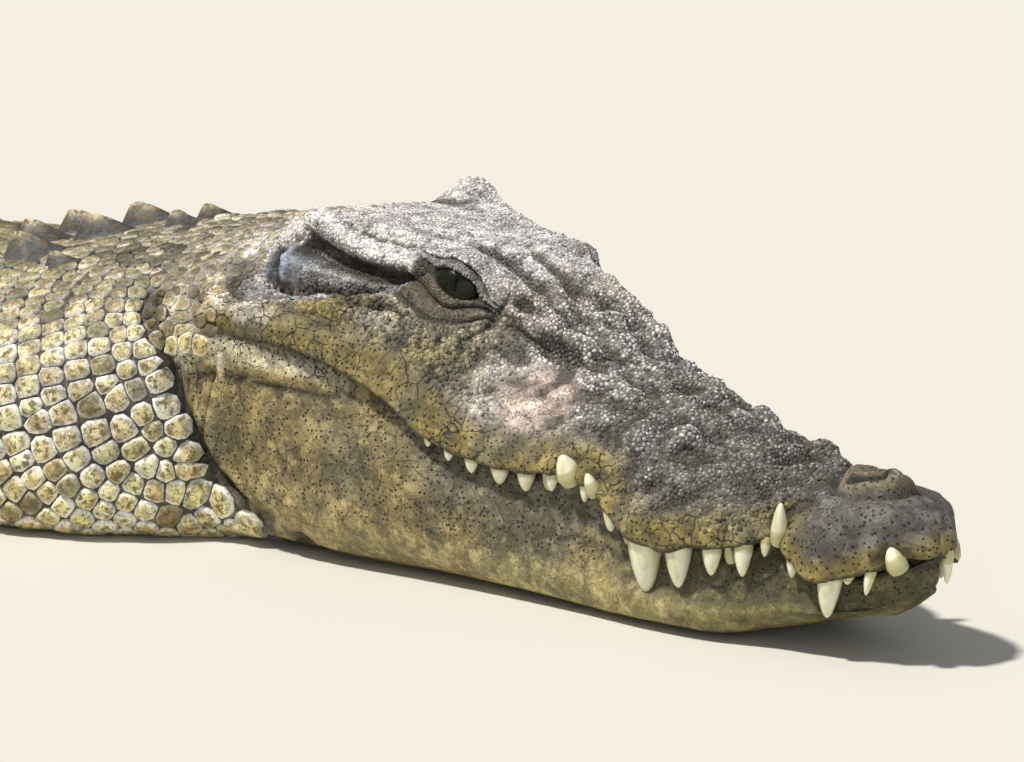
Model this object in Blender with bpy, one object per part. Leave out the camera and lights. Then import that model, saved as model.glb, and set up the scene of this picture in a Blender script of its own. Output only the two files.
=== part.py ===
"""A life-size saltwater crocodile, lying on its belly with its jaws shut.

Run with: blender --background --python part.py

Metres, +Z up. The trunk lies along X with the head end at +X, the animal's left is +Y, and the
origin is on the floor under the middle of the belly. "Station" means the distance behind the tip of
the snout along the spine, which bends in plan: the head turns to its right and the tail swings.
The head has its own length "ahead", measured forwards from the back edge of the skull roof.
"""

import math

import bmesh
import bpy
import numpy as np
from mathutils import Matrix, Vector

# ---------------------------------------------------------------- driving sizes
TOTAL_LENGTH = 4.0
HEAD_LENGTH = 0.556  # tip of the snout to the back edge of the skull roof
JAW_BEHIND = 0.09  # how far the jaws reach behind the skull roof
SHOULDER_STATION = 0.96  # where the neck meets the trunk
BELLY_STATION = 1.50  # the station of the origin
VENT_STATION = 2.04  # where the trunk meets the tail
TAIL_CUTS = (2.55, 3.05, 3.55)
HEAD_TURN = math.radians(28)  # to the animal's right
CUT = 0.0004  # the gap that parts two neighbouring solids
MOUTH_GAP = 0.0016  # between the lips
UNDER_FLOOR = 0.005  # how far a belly line would sag below the floor if there were none
LIP_INSET = 0.0165  # how far the lower lip stands inside the upper one

EYE_RADIUS = 0.0250
EYE_PLACE = (0.131, 0.0545, 0.2020)  # ahead, outwards, up
EAR_PLACE = (0.034, 0.0905, 0.2035)
EAR_HALF_SIZES = (0.070, 0.0105, 0.0125)

FINISHES = {  # colour, roughness
    "head_hide": ((0.20, 0.20, 0.15), 0.60),
    "jaw_hide": ((0.36, 0.33, 0.17), 0.60),
    "neck_hide": ((0.34, 0.30, 0.17), 0.60),
    "back_hide": ((0.16, 0.16, 0.11), 0.62),
    "tail_hide": ((0.17, 0.17, 0.12), 0.62),
    "leg_hide": ((0.24, 0.23, 0.14), 0.60),
    "ear_hide": ((0.19, 0.22, 0.25), 0.45),
    "eye_wet": ((0.06, 0.07, 0.03), 0.08),
}


# ---------------------------------------------------------------- curves
class Profile:
    """A smooth curve through a few (place, value) pairs that never overshoots them."""

    def __init__(self, *pairs):
        self.place, self.value = np.array(pairs, float).T
        rise = np.diff(self.value) / np.diff(self.place)
        before, after = rise[:-1], rise[1:]
        same_way = before * after > 0
        inner = np.where(same_way, 2 * before * after / np.where(same_way, before + after, 1), 0)
        self.slope = np.concatenate([rise[:1], inner, rise[-1:]])

    def __call__(self, at):
        at = np.clip(np.asarray(at, float), self.place[0], self.place[-1])
        i = np.clip(np.searchsorted(self.place, at) - 1, 0, len(self.place) - 2)
        width = self.place[i + 1] - self.place[i]
        t = (at - self.place[i]) / width
        return (
            self.value[i] * (1 + 2 * t) * (1 - t) ** 2
            + self.value[i + 1] * t * t * (3 - 2 * t)
            + self.slope[i] * width * t * (1 - t) ** 2
            - self.slope[i + 1] * width * t * t * (1 - t)
        )


def smooth_step(low, high, at):
    t = np.clip((np.asarray(at, float) - low) / (high - low), 0, 1)
    return t * t * (3 - 2 * t)


def arc_fall(start, end, at):
    """1 up to start, then a quarter of an ellipse down to 0 at end."""
    t = np.clip((np.asarray(at, float) - start) / (end - start), 0, 1)
    return np.sqrt(1 - t * t)


# ---------------------------------------------------------------- neck, trunk and tail, by station
HALF_WIDTH = Profile(
    (0.55, 0.158), (0.62, 0.170), (0.68, 0.200), (0.74, 0.224), (0.82, 0.234), (0.94, 0.233),
    (1.06, 0.230),
    (1.26, 0.262), (1.50, 0.284), (1.74, 0.250), (1.94, 0.190), (2.10, 0.158), (2.45, 0.124),
    (2.85, 0.090), (3.25, 0.058), (3.65, 0.030), (3.90, 0.013), (4.00, 0.006),
)
BACK_HEIGHT = Profile(
    (0.55, 0.240), (0.64, 0.231), (0.72, 0.221), (0.80, 0.209), (0.90, 0.194), (1.04, 0.188),
    (1.18, 0.212), (1.34, 0.264), (1.52, 0.300), (1.76, 0.290), (1.96, 0.258), (2.15, 0.232),
    (2.50, 0.196), (2.90, 0.156), (3.30, 0.116), (3.65, 0.080), (3.90, 0.050), (4.00, 0.034),
)
WIDEST_HEIGHT = Profile(
    (0.55, 0.150), (0.66, 0.120), (0.80, 0.088), (1.04, 0.080), (1.40, 0.112), (1.95, 0.112),
    (2.50, 0.086), (3.20, 0.052),
    (3.80, 0.026), (4.00, 0.014),
)
BACK_SQUARENESS = Profile((0.60, 2.0), (1.20, 2.4), (2.00, 2.3), (2.60, 1.9), (4.00, 1.6))
BELLY_SQUARENESS = Profile((0.56, 3.0), (0.66, 6.0), (0.90, 6.0), (1.20, 3.2), (2.00, 2.8), (4.00, 2.3))

# ---------------------------------------------------------------- head, by "ahead"
TOP_HEIGHT = Profile(
    (-0.10, 0.236), (-0.02, 0.243), (0.05, 0.241), (0.12, 0.230), (0.16, 0.219), (0.20, 0.201),
    (0.25, 0.177), (0.315, 0.149), (0.38, 0.126), (0.44, 0.113), (0.50, 0.112), (0.56, 0.110),
)
EDGE_WIDTH = Profile(
    (-0.10, 0.090), (-0.02, 0.076), (0.05, 0.071), (0.10, 0.064), (0.16, 0.057), (0.20, 0.049),
    (0.25, 0.044), (0.38, 0.042), (0.43, 0.033), (0.46, 0.029), (0.50, 0.036), (0.56, 0.034),
)
EDGE_HEIGHT = Profile(
    (-0.10, 0.222), (-0.02, 0.241), (0.05, 0.237), (0.10, 0.229), (0.16, 0.214), (0.20, 0.194),
    (0.25, 0.168), (0.315, 0.139), (0.38, 0.117), (0.43, 0.107), (0.50, 0.108), (0.56, 0.106),
)
TEMPLE_WIDTH = Profile(
    (-0.10, 0.120), (-0.02, 0.094), (0.05, 0.088), (0.10, 0.083), (0.16, 0.076), (0.20, 0.068),
    (0.25, 0.062), (0.38, 0.062), (0.43, 0.050), (0.46, 0.041), (0.50, 0.048), (0.56, 0.046),
)
TEMPLE_HEIGHT = Profile(
    (-0.10, 0.204), (-0.02, 0.201), (0.10, 0.197), (0.16, 0.184), (0.20, 0.169), (0.25, 0.150),
    (0.315, 0.123), (0.38, 0.104), (0.43, 0.097), (0.50, 0.095), (0.56, 0.094),
)
CHEEK_WIDTH = Profile(
    (-0.10, 0.146), (-0.02, 0.139), (0.05, 0.131), (0.10, 0.122), (0.16, 0.109), (0.20, 0.098),
    (0.25, 0.087), (0.315, 0.080), (0.36, 0.081), (0.40, 0.072), (0.43, 0.061), (0.455, 0.049),
    (0.495, 0.056), (0.56, 0.053),
)
CHEEK_HEIGHT = Profile(
    (-0.10, 0.176), (0.05, 0.179), (0.10, 0.176), (0.16, 0.160), (0.20, 0.144), (0.25, 0.126),
    (0.315, 0.107), (0.36, 0.087), (0.43, 0.087), (0.46, 0.087), (0.495, 0.078), (0.56, 0.082),
)
LIP_WIDTH = Profile(
    (-0.10, 0.156), (0.00, 0.150), (0.06, 0.142), (0.10, 0.136), (0.14, 0.129), (0.20, 0.115),
    (0.25, 0.104), (0.30, 0.094), (0.345, 0.090), (0.375, 0.086), (0.40, 0.080), (0.43, 0.067),
    (0.455, 0.054), (0.490, 0.057), (0.52, 0.055), (0.56, 0.050),
)
LIP_HEIGHT = Profile(
    (-0.10, 0.160), (0.00, 0.163), (0.06, 0.158), (0.10, 0.146), (0.14, 0.130), (0.17, 0.111),
    (0.20, 0.102), (0.25, 0.095), (0.30, 0.091), (0.325, 0.083), (0.345, 0.063), (0.375, 0.060),
    (0.40, 0.067), (0.43, 0.070), (0.453, 0.078), (0.475, 0.066), (0.495, 0.056), (0.515, 0.061),
    (0.535, 0.069), (0.56, 0.078),
)
JAW_SIDE_INSET = Profile(
    (-0.10, 0.000), (0.10, 0.001), (0.20, 0.006), (0.26, 0.012), (0.33, 0.018), (0.40, 0.016),
    (0.46, 0.008), (0.50, 0.014), (0.56, 0.010),
)
KEEL_WIDTH = Profile(
    (-0.10, 0.160), (0.00, 0.132), (0.07, 0.120), (0.15, 0.100), (0.25, 0.086), (0.345, 0.078),
    (0.40, 0.066), (0.45, 0.048), (0.52, 0.040), (0.56, 0.034),
)
KEEL_HEIGHT = Profile((-0.10, 0.012), (0.20, 0.009), (0.40, 0.008), (0.44, 0.016), (0.48, 0.028), (0.56, 0.042))
CHIN_HEIGHT = Profile((-0.10, -UNDER_FLOOR), (0.38, -UNDER_FLOOR), (0.44, 0.010), (0.50, 0.024), (0.56, 0.036))

SNOUT_ARC = 0.072  # the length of the rounded end of the snout, in plan
NOSE_ARC = 0.034  # and in profile
UNDERBITE = 0.009  # how far the lower jaw ends behind the upper one
TIP_HEIGHT = 0.079
UPPER_PLACES = np.array([0.0, 0.10, 0.19, 0.27, 0.38, 0.50])
LOWER_PLACES = np.array([0.50, 0.66, 0.86, 1.0])


def spline(keys, places, at, slope_first, slope_last):
    """Smooth values between the keys of one section; the end slopes are given."""
    slope = np.empty_like(keys)
    slope[:, 1:-1] = (keys[:, 2:] - keys[:, :-2]) / (places[2:] - places[:-2])
    slope[:, 0], slope[:, -1] = slope_first, slope_last
    i = np.clip(np.searchsorted(places, at) - 1, 0, len(places) - 2)
    width = places[i + 1] - places[i]
    t = (at - places[i]) / width
    return (
        keys[:, i] * (1 + 2 * t) * (1 - t) ** 2
        + keys[:, i + 1] * t * t * (3 - 2 * t)
        + slope[:, i] * width * t * (1 - t) ** 2
        - slope[:, i + 1] * width * t * t * (1 - t)
    )


def head_section(ahead, turn, lower):
    """(outwards, up) of a half section of the head for each turn: 0 on the crown, 0.5 at the lip, 1 at the chin."""
    plan = arc_fall(HEAD_LENGTH - SNOUT_ARC, HEAD_LENGTH - (UNDERBITE if lower else 0), ahead)
    face = arc_fall(HEAD_LENGTH - NOSE_ARC, HEAD_LENGTH, ahead)
    lip_width, lip_height = LIP_WIDTH(ahead), LIP_HEIGHT(ahead)
    if lower:
        closed = smooth_step(0.0, 0.08, ahead)
        outwards = [
            lip_width - LIP_INSET * closed,
            lip_width - JAW_SIDE_INSET(ahead),
            KEEL_WIDTH(ahead),
            0 * ahead,
        ]
        up = [lip_height, 0.52 * lip_height + 0.006, KEEL_HEIGHT(ahead), CHIN_HEIGHT(ahead)]
        places = LOWER_PLACES
    else:
        top, edge = TOP_HEIGHT(ahead), EDGE_HEIGHT(ahead)
        outwards = [
            0 * ahead, 0.55 * EDGE_WIDTH(ahead), EDGE_WIDTH(ahead), TEMPLE_WIDTH(ahead),
            CHEEK_WIDTH(ahead), lip_width,
        ]
        up = [top, 0.45 * top + 0.55 * edge, edge, TEMPLE_HEIGHT(ahead), CHEEK_HEIGHT(ahead), lip_height]
        places = UPPER_PLACES
    outwards = np.stack(outwards, 1) * plan[:, None]
    up = TIP_HEIGHT + (np.stack(up, 1) - TIP_HEIGHT) * face[:, None]
    first = (outwards[:, 1] - outwards[:, 0]) / (places[1] - places[0])
    last = (outwards[:, -1] - outwards[:, -2]) / (places[-1] - places[-2])
    up_first = (up[:, 1] - up[:, 0]) / (places[1] - places[0])
    up_last = (up[:, -1] - up[:, -2]) / (places[-1] - places[-2])
    if lower:
        return spline(outwards, places, turn, 0 * first, last), spline(up, places, turn, up_first, 0 * up_last)
    return spline(outwards, places, turn, first, 0.4 * last), spline(up, places, turn, 0 * up_first, up_last)


def body_section(station, turn):
    """The same for the neck, trunk and tail: a rounded box, fuller below."""
    angle = math.pi * turn[None, :]
    upper = turn[None, :] <= 0.5
    squareness = np.where(upper, BACK_SQUARENESS(station)[:, None], BELLY_SQUARENESS(station)[:, None])
    widest = WIDEST_HEIGHT(station)[:, None]
    height = np.where(upper, BACK_HEIGHT(station)[:, None] - widest, widest + UNDER_FLOOR)
    sine = np.abs(np.sin(angle)) ** (2 / squareness)
    cosine = np.abs(np.cos(angle)) ** (2 / squareness) * np.where(upper, 1, -1)
    return HALF_WIDTH(station)[:, None] * sine, widest + height * cosine


def half_section(station, turn, lower=False):
    """(outwards, up) for each station and turn; the head's section passes into the neck's behind the skull."""
    ahead = HEAD_LENGTH - station
    head = head_section(ahead, turn, lower)
    body = body_section(station, turn)
    share = smooth_step(0.02, -0.12, ahead)[:, None]
    return tuple((1 - share) * h + share * b for h, b in zip(head, body))


# ---------------------------------------------------------------- the spine, in plan
HEADING = Profile(
    (0.00, -HEAD_TURN), (0.56, -HEAD_TURN), (0.67, -0.6 * HEAD_TURN), (0.82, -0.25 * HEAD_TURN),
    (1.04, 0.0), (2.00, 0.0),
    (2.50, 0.22), (2.95, 0.42), (3.45, 0.16), (4.00, -0.42),
)
STATIONS = np.linspace(0, TOTAL_LENGTH, 4001)


def spine_line():
    """The plan places of STATIONS, with the belly's station at the origin."""
    heading = HEADING(STATIONS)
    steps = np.stack([np.cos(heading), np.sin(heading)], 1) * (STATIONS[1] - STATIONS[0])
    line = -np.concatenate([np.zeros((1, 2)), np.cumsum((steps[1:] + steps[:-1]) / 2, axis=0)])
    return line - [np.interp(BELLY_STATION, STATIONS, line[:, k]) for k in (0, 1)]


SPINE = spine_line()


BROW_SHIFT = Profile(  # how far the brows and the upper snout lie back, by ahead; they lie inwards as well
    (0.010, 0.0), (0.090, 0.0060), (0.160, 0.0085), (0.240, 0.0085), (0.320, 0.0035), (0.390, 0.0),
)
TIP_SHIFT = Profile((0.465, 0.0), (0.500, 0.0038), (0.560, 0.0104))
LIP_SHIFT = Profile(  # how far the lips and the jaw lie back
    (0.120, 0.0), (0.170, 0.0040), (0.210, 0.0065), (0.260, 0.0075), (0.300, 0.0100), (0.360, 0.0135),
    (0.400, 0.0100), (0.455, 0.0105), (0.490, 0.0150), (0.515, 0.0165), (0.535, 0.0130), (0.560, 0.0104),
)


def true_head(station, left, up):
    """Narrows the brows and the tip of the snout, and sets the lips back."""
    station, left, up = np.broadcast_arrays(*(np.asarray(v, float) for v in (station, left, up)))
    ahead = HEAD_LENGTH - station
    out = np.abs(left)
    lip, top = LIP_HEIGHT(ahead), TOP_HEIGHT(ahead)
    high = smooth_step(0.30, 0.80, (up - lip) / (top - lip))
    shift = BROW_SHIFT(ahead) * high
    inwards = 0.85 * shift * smooth_step(0.0, 0.045, out) + 0.095 * out * smooth_step(0.455, 0.520, ahead)
    chin = 0.007 * smooth_step(0.47, 0.54, ahead) * smooth_step(0.065, 0.035, up)
    back = shift + TIP_SHIFT(ahead) * high + LIP_SHIFT(ahead) * (1 - high) + chin
    return station + back, left - np.sign(left) * inwards, up - 0.18 * shift


def place(station, left, up):
    """World points for places beside the spine."""
    station, left, up = true_head(station, left, up)
    heading = HEADING(station)
    x = np.interp(station, STATIONS, SPINE[:, 0]) - left * np.sin(heading)
    y = np.interp(station, STATIONS, SPINE[:, 1]) + left * np.cos(heading)
    return np.stack([x, y, up + 0 * x], -1)


def head_place(ahead, left, up):
    return place(HEAD_LENGTH - np.asarray(ahead, float), left, up)


# ---------------------------------------------------------------- swellings of the head
MOUNDS = (  # (ahead, outwards, up), half sizes, height, the way it pushes
    ((0.140, 0.047, 0.215), (0.054, 0.034, 0.050), 0.014, (0.0, 0.20, 0.98)),  # brow over the eye
    ((-0.006, 0.069, 0.243), (0.030, 0.025, 0.040), 0.013, (-0.30, 0.20, 0.93)),  # skull's back corner
    ((0.493, 0.000, 0.116), (0.038, 0.036, 0.040), 0.015, (0.0, 0.0, 1.0)),  # nostril mound
    ((0.235, 0.042, 0.175), (0.070, 0.020, 0.034), 0.006, (0.0, 0.35, 0.93)),  # ridge before the eye
    ((0.020, 0.140, 0.110), (0.110, 0.060, 0.060), 0.006, (-0.2, 0.97, 0.0)),  # jaw muscle
)


def swell(ahead, left, up):
    """Pushes head points outwards where the mounds are, the same on both sides."""
    side = np.where(left < 0, -1, 1)
    points = np.stack([ahead, np.abs(left), up], -1)
    pushed = points.copy()
    for centre, halves, height, push in MOUNDS:
        far = np.linalg.norm((points - centre) / np.array(halves), axis=-1)
        pushed += height * np.clip(1 - far * far, 0, 1)[..., None] ** 2 * np.array(push)
    middle = np.abs(left) < 1e-9
    pushed[..., 1] = np.where(middle, 0, pushed[..., 1] * side)
    return pushed[..., 0], pushed[..., 1], pushed[..., 2]


# ---------------------------------------------------------------- mesh helpers
def finish(slot):
    """The material of a slot, made on its first use."""
    made = bpy.data.materials.get(slot)
    if made is None:
        made = bpy.data.materials.new(slot)
        made.use_nodes = True
        colour, roughness = FINISHES[slot]
        surface = made.node_tree.nodes["Principled BSDF"]
        surface.inputs["Base Color"].default_value = (*colour, 1)
        surface.inputs["Roughness"].default_value = roughness
        surface.inputs["Metallic"].default_value = 0.0
    return made


def add_object(name, mesh_data, slot):
    made = bpy.data.objects.new(name, mesh_data)
    made.data.materials.append(finish(slot))
    bpy.context.scene.collection.objects.link(made)
    for face in made.data.polygons:
        face.use_smooth = True
    return made


def as_helper(obj):
    obj.hide_render = True
    obj.display_type = "WIRE"
    return obj


def rings_mesh(name, rings, tip_start=None, tip_end=None):
    """A closed mesh over rings of points, with a fan to a tip point or a flat cap at each end."""
    count = len(rings[0])
    vertices = [tuple(p) for ring in rings for p in ring]
    faces = [
        (r * count + i, r * count + (i + 1) % count, (r + 1) * count + (i + 1) % count, (r + 1) * count + i)
        for r in range(len(rings) - 1)
        for i in range(count)
    ]
    last = (len(rings) - 1) * count
    if tip_start is None:
        faces.append(tuple(reversed(range(count))))
    else:
        vertices.append(tuple(tip_start))
        faces += [((i + 1) % count, i, len(vertices) - 1) for i in range(count)]
    if tip_end is None:
        faces.append(tuple(range(last, last + count)))
    else:
        vertices.append(tuple(tip_end))
        faces += [(last + i, last + (i + 1) % count, len(vertices) - 1) for i in range(count)]
    return outward_mesh(name, vertices, faces)


def outward_mesh(name, vertices, faces):
    made = bpy.data.meshes.new(name)
    made.from_pydata([tuple(v) for v in vertices], [], faces)
    work = bmesh.new()
    work.from_mesh(made)
    bmesh.ops.recalc_face_normals(work, faces=work.faces)
    work.to_mesh(made)
    work.free()
    return made


def joined_mesh(name, meshes):
    work = bmesh.new()
    for each in meshes:
        work.from_mesh(each)
    made = bpy.data.meshes.new(name)
    work.to_mesh(made)
    work.free()
    return made


def add_boolean(obj, other, operation, self_crossing=False):
    """Joins or cuts obj with a helper object."""
    cut = obj.modifiers.new(f"{operation.lower()}_{other.name}", "BOOLEAN")
    cut.operation = operation
    cut.object = other
    cut.solver = "EXACT"
    cut.use_self = self_crossing


# ---------------------------------------------------------------- lofts along the spine
def body_rings(stations, turns, grow=0.0):
    """Closed rings round the whole body at the stations; grow makes them larger, for a cutter."""
    outwards, up = half_section(stations, turns)
    centre = WIDEST_HEIGHT(stations)[:, None]
    reach = np.hypot(outwards, up - centre)
    outwards = outwards * (1 + grow / reach)
    up = centre + (up - centre) * (1 + grow / reach)
    left = np.concatenate([outwards, -outwards[:, -2:0:-1]], 1)
    up = np.concatenate([up, up[:, -2:0:-1]], 1)
    ahead = HEAD_LENGTH - np.repeat(stations[:, None], left.shape[1], 1)
    ahead, left, up = swell(ahead, left, up)
    return place(HEAD_LENGTH - ahead, left, np.maximum(up, -grow))


def body_length(name, stations, half_count, slot, grow=0.0, tip=False):
    """A solid length of neck, trunk or tail with rings at the stations."""
    rings = body_rings(stations, np.linspace(0, 1, half_count + 1), grow)
    tip_end = rings[-1].mean(axis=0) - (0.004, 0.001, 0) if tip else None
    return add_object(name, rings_mesh(name, list(rings), tip_end=tip_end), slot)


def head_stations(lower):
    """Places ahead of the skull's back edge, closer together where the outline turns fast."""
    straight = np.concatenate([
        np.linspace(-JAW_BEHIND, 0.10, 8, endpoint=False),
        np.linspace(0.10, 0.31, 8, endpoint=False),
        np.linspace(0.31, HEAD_LENGTH - SNOUT_ARC, 8, endpoint=False),
    ])
    arc = HEAD_LENGTH - SNOUT_ARC + 0.985 * SNOUT_ARC * np.sin(np.linspace(0, math.pi / 2, 5))
    if lower:
        arc = np.append(arc[:-2], HEAD_LENGTH - UNDERBITE - 0.0007)
    return np.concatenate([straight, arc])


def jaw_solid(name, lower, turns, slot):
    """The upper or the lower half of the head, closed along the mouth."""
    ahead = head_stations(lower)
    outwards, up = half_section(HEAD_LENGTH - ahead, turns, lower)
    up = up + (-MOUTH_GAP / 2 if lower else MOUTH_GAP / 2) * (np.abs(turns - 0.5) < 1e-9)
    left = np.concatenate([outwards, -outwards[:, ::-1][:, (1 if lower else 0):(None if lower else -1)]], 1)
    up = np.concatenate([up, up[:, ::-1][:, (1 if lower else 0):(None if lower else -1)]], 1)
    if not lower:
        left, up = np.roll(left, 1, axis=1), np.roll(up, 1, axis=1)
    along = np.repeat(ahead[:, None], left.shape[1], 1)
    along, left, up = swell(along, left, up)
    rings = list(head_place(along, left, np.maximum(up, 0)))
    tip_ahead = HEAD_LENGTH - (UNDERBITE if lower else 0)
    tip = head_place(tip_ahead, 0.0, TIP_HEIGHT + (-0.012 if lower else 0.001))
    return add_object(name, rings_mesh(name, rings, tip_end=tip), slot)


# ---------------------------------------------------------------- teeth
BOTH = (-1, 1)
UPPER_TEETH = (  # ahead, length, width at the lip, sides that have it
    (0.172, 0.008, 0.007, BOTH), (0.190, 0.010, 0.008, BOTH), (0.209, 0.012, 0.009, BOTH),
    (0.232, 0.014, 0.011, BOTH), (0.255, 0.015, 0.010, BOTH), (0.282, 0.013, 0.009, BOTH),
    (0.311, 0.014, 0.009, BOTH), (0.335, 0.017, 0.011, BOTH), (0.361, 0.031, 0.019, BOTH),
    (0.388, 0.025, 0.015, BOTH), (0.413, 0.019, 0.012, BOTH), (0.433, 0.020, 0.011, BOTH),
    (0.449, 0.014, 0.007, BOTH), (0.472, 0.014, 0.007, BOTH), (0.503, 0.024, 0.014, BOTH),
    (0.527, 0.011, 0.007, BOTH), (0.5535, 0.020, 0.008, (1,)),
)
LOWER_TEETH = (  # the same, but the height above the edge of the upper lip
    (0.272, 0.008, 0.009, BOTH), (0.295, 0.018, 0.015, BOTH), (0.321, 0.018, 0.012, BOTH),
    (0.4565, 0.030, 0.011, BOTH), (0.541, 0.006, 0.010, BOTH),
)


def tooth_mesh(root, tip, width, grow=0.0):
    """A curved cone from root to tip."""
    root, tip = Vector(root), Vector(tip)
    axis = (tip - root).normalized()
    side = axis.orthogonal().normalized()
    other = axis.cross(side)
    sides = 5 if width > 0.0085 else 4
    rings = []
    for share, size in ((0.0, 1.0), (0.62, 0.78)):
        centre = root.lerp(tip, share)
        radius = size * width / 2 + grow
        rings.append([
            centre + radius * (math.cos(a) * side + math.sin(a) * other)
            for a in np.linspace(0, 2 * math.pi, sides, endpoint=False)
        ])
    return rings_mesh("tooth", rings, tip_end=tip + axis * grow)


def tooth_line(ahead, side, lower, length, width):
    """(root, tip) of a tooth. Upper teeth hang outside the lower jaw, lower ones stand outside the upper."""
    lip_width = LIP_WIDTH(ahead) * arc_fall(HEAD_LENGTH - SNOUT_ARC, HEAD_LENGTH, ahead)
    lip_height = LIP_HEIGHT(ahead)
    if lower:
        root = head_place(ahead, side * (lip_width - LIP_INSET - 0.006), lip_height - 0.016)
        tip = head_place(ahead - 0.002, side * (lip_width + 0.002), lip_height + length)
    else:
        at = lip_width - 0.20 * width - 0.0015
        root = head_place(ahead, side * at, lip_height + 0.012)
        tip = head_place(ahead, side * (at + 0.004), lip_height - length)
    return root, tip


def teeth_helper(name, rows, lower, grow=0.0):
    meshes = [
        tooth_mesh(*tooth_line(ahead, side, lower, length, width), width, grow)
        for ahead, length, width, sides in rows
        for side in sides
    ]
    return as_helper(add_object(name, joined_mesh(name, meshes), "jaw_hide"))


# ---------------------------------------------------------------- head
def eyeball(name, side, grow=0.0):
    ahead, outwards, up = EYE_PLACE
    work = bmesh.new()
    bmesh.ops.create_uvsphere(work, u_segments=12, v_segments=7, radius=EYE_RADIUS + grow)
    made = bpy.data.meshes.new(name)
    work.to_mesh(made)
    work.free()
    made.transform(Matrix.Translation(head_place(ahead, side * outwards, up)))
    return add_object(name, made, "eye_wet")


def ear_flap(name, side, grow=0.0):
    """The long lid that shuts the ear, under the edge of the skull roof."""
    work = bmesh.new()
    bmesh.ops.create_uvsphere(work, u_segments=8, v_segments=6, radius=1.0)
    made = bpy.data.meshes.new(name)
    work.to_mesh(made)
    work.free()
    turn = Matrix.Rotation(-HEAD_TURN - side * math.radians(7), 4, "Z")
    lean = Matrix.Rotation(math.radians(-4), 4, "Y")
    sizes = Matrix.Diagonal([size + grow for size in EAR_HALF_SIZES] + [1])
    centre = head_place(EAR_PLACE[0], side * EAR_PLACE[1], EAR_PLACE[2])
    made.transform(Matrix.Translation(centre) @ turn @ lean @ sizes)
    return add_object(name, made, "ear_hide")


def build_head():
    upper = jaw_solid("head", False, np.linspace(0, 0.5, 10), "head_hide")
    lower = jaw_solid("lower_jaw", True, np.linspace(0.5, 1, 7), "jaw_hide")
    for side, word in ((-1, "right"), (1, "left")):
        for maker, part in ((eyeball, "eye"), (ear_flap, "ear_flap")):
            maker(f"{word}_{part}", side)
            socket = as_helper(maker(f"{word}_{part}_socket", side, CUT))
            add_boolean(upper, socket, "DIFFERENCE")
    upper_teeth = teeth_helper("upper_teeth", UPPER_TEETH, False)
    lower_teeth = teeth_helper("lower_teeth", LOWER_TEETH, True)
    add_boolean(lower, teeth_helper("upper_teeth_room", UPPER_TEETH, False, CUT), "DIFFERENCE")
    add_boolean(lower, lower_teeth, "UNION")
    add_boolean(upper, upper_teeth, "UNION")
    add_boolean(upper, teeth_helper("lower_teeth_room", LOWER_TEETH, True, CUT), "DIFFERENCE")


# ---------------------------------------------------------------- tail crest
CREST_JOINS = 3.04  # the station where the two rows of upright scutes become one
CREST_HEIGHT = Profile((2.00, 0.018), (2.30, 0.038), (2.80, 0.056), (3.30, 0.058), (3.96, 0.020))
CREST_SPREAD = Profile((2.00, 0.062), (2.50, 0.046), (3.04, 0.014))
CREST_STEP = Profile((2.00, 0.072), (3.00, 0.066), (3.96, 0.052))


def crest_places(start, end):
    """(station, left, step) of the upright scutes between two stations."""
    count = round((end - start) / float(CREST_STEP((start + end) / 2)))
    step = (end - start) / count
    stations = [start + (i + 0.5) * step for i in range(count)]
    if start >= CREST_JOINS:
        return [(station, 0.0, step) for station in stations]
    return [(station, side * float(CREST_SPREAD(station)), step) for station in stations for side in BOTH]


def crest_blade(station, left, step):
    """One upright scute, leaning back: a thin wedge whose root is inside the tail."""
    height = float(CREST_HEIGHT(station))
    rise = math.sqrt(1 - (left / HALF_WIDTH(station)) ** 2)
    base = float(WIDEST_HEIGHT(station) + (BACK_HEIGHT(station) - WIDEST_HEIGHT(station)) * rise)
    corners = []
    for along, up, thick in (
        (-0.45, -0.010, 0.0040), (0.45, -0.014, 0.0040), (0.46, height, 0.0012), (0.10, 0.80 * height, 0.0014),
    ):
        for lean in BOTH:
            corners.append(place(station + along * step, left + lean * thick, base + up))
    faces = [(0, 1, 3, 2), (2, 3, 5, 4), (4, 5, 7, 6), (6, 7, 1, 0), (0, 2, 4, 6), (1, 7, 5, 3)]
    return outward_mesh("blade", corners, faces)


def crest_helper(name, start, end):
    blades = [crest_blade(*where) for where in crest_places(start, end)]
    return as_helper(add_object(name, joined_mesh(name, blades), "tail_hide"))


# ---------------------------------------------------------------- legs
def limb_rings(points, sizes, sides):
    """Rings round a line of points; sizes are (half width, half height) at each, flattened on the floor."""
    points = [Vector(p) for p in points]
    rings = []
    for i, centre in enumerate(points):
        before, after = points[max(i - 1, 0)], points[min(i + 1, len(points) - 1)]
        axis = (after - before).normalized()
        across = axis.cross(Vector((0, 0, 1))).normalized()
        over = across.cross(axis).normalized()
        wide, high = map(float, sizes[i])
        ring = []
        for angle in np.linspace(0, 2 * math.pi, sides, endpoint=False):
            point = centre + wide * math.cos(angle) * across + high * math.sin(angle) * over
            ring.append((point.x, point.y, max(point.z, 0)))
        rings.append(np.array(ring))
    return rings


def limb_mesh(name, points, sizes, sides):
    return rings_mesh(name, limb_rings(points, sizes, sides))


def along_path(points, sizes, count):
    """Places and sizes read from a smooth line through the points."""
    knots, shares = np.linspace(0, 1, len(points)), np.linspace(0, 1, count)
    columns = np.concatenate([np.array(points, float), np.array(sizes, float)], 1)
    found = np.stack([Profile(*zip(knots, column))(shares) for column in columns.T], 1)
    return found[:, :3], found[:, 3:]


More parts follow.
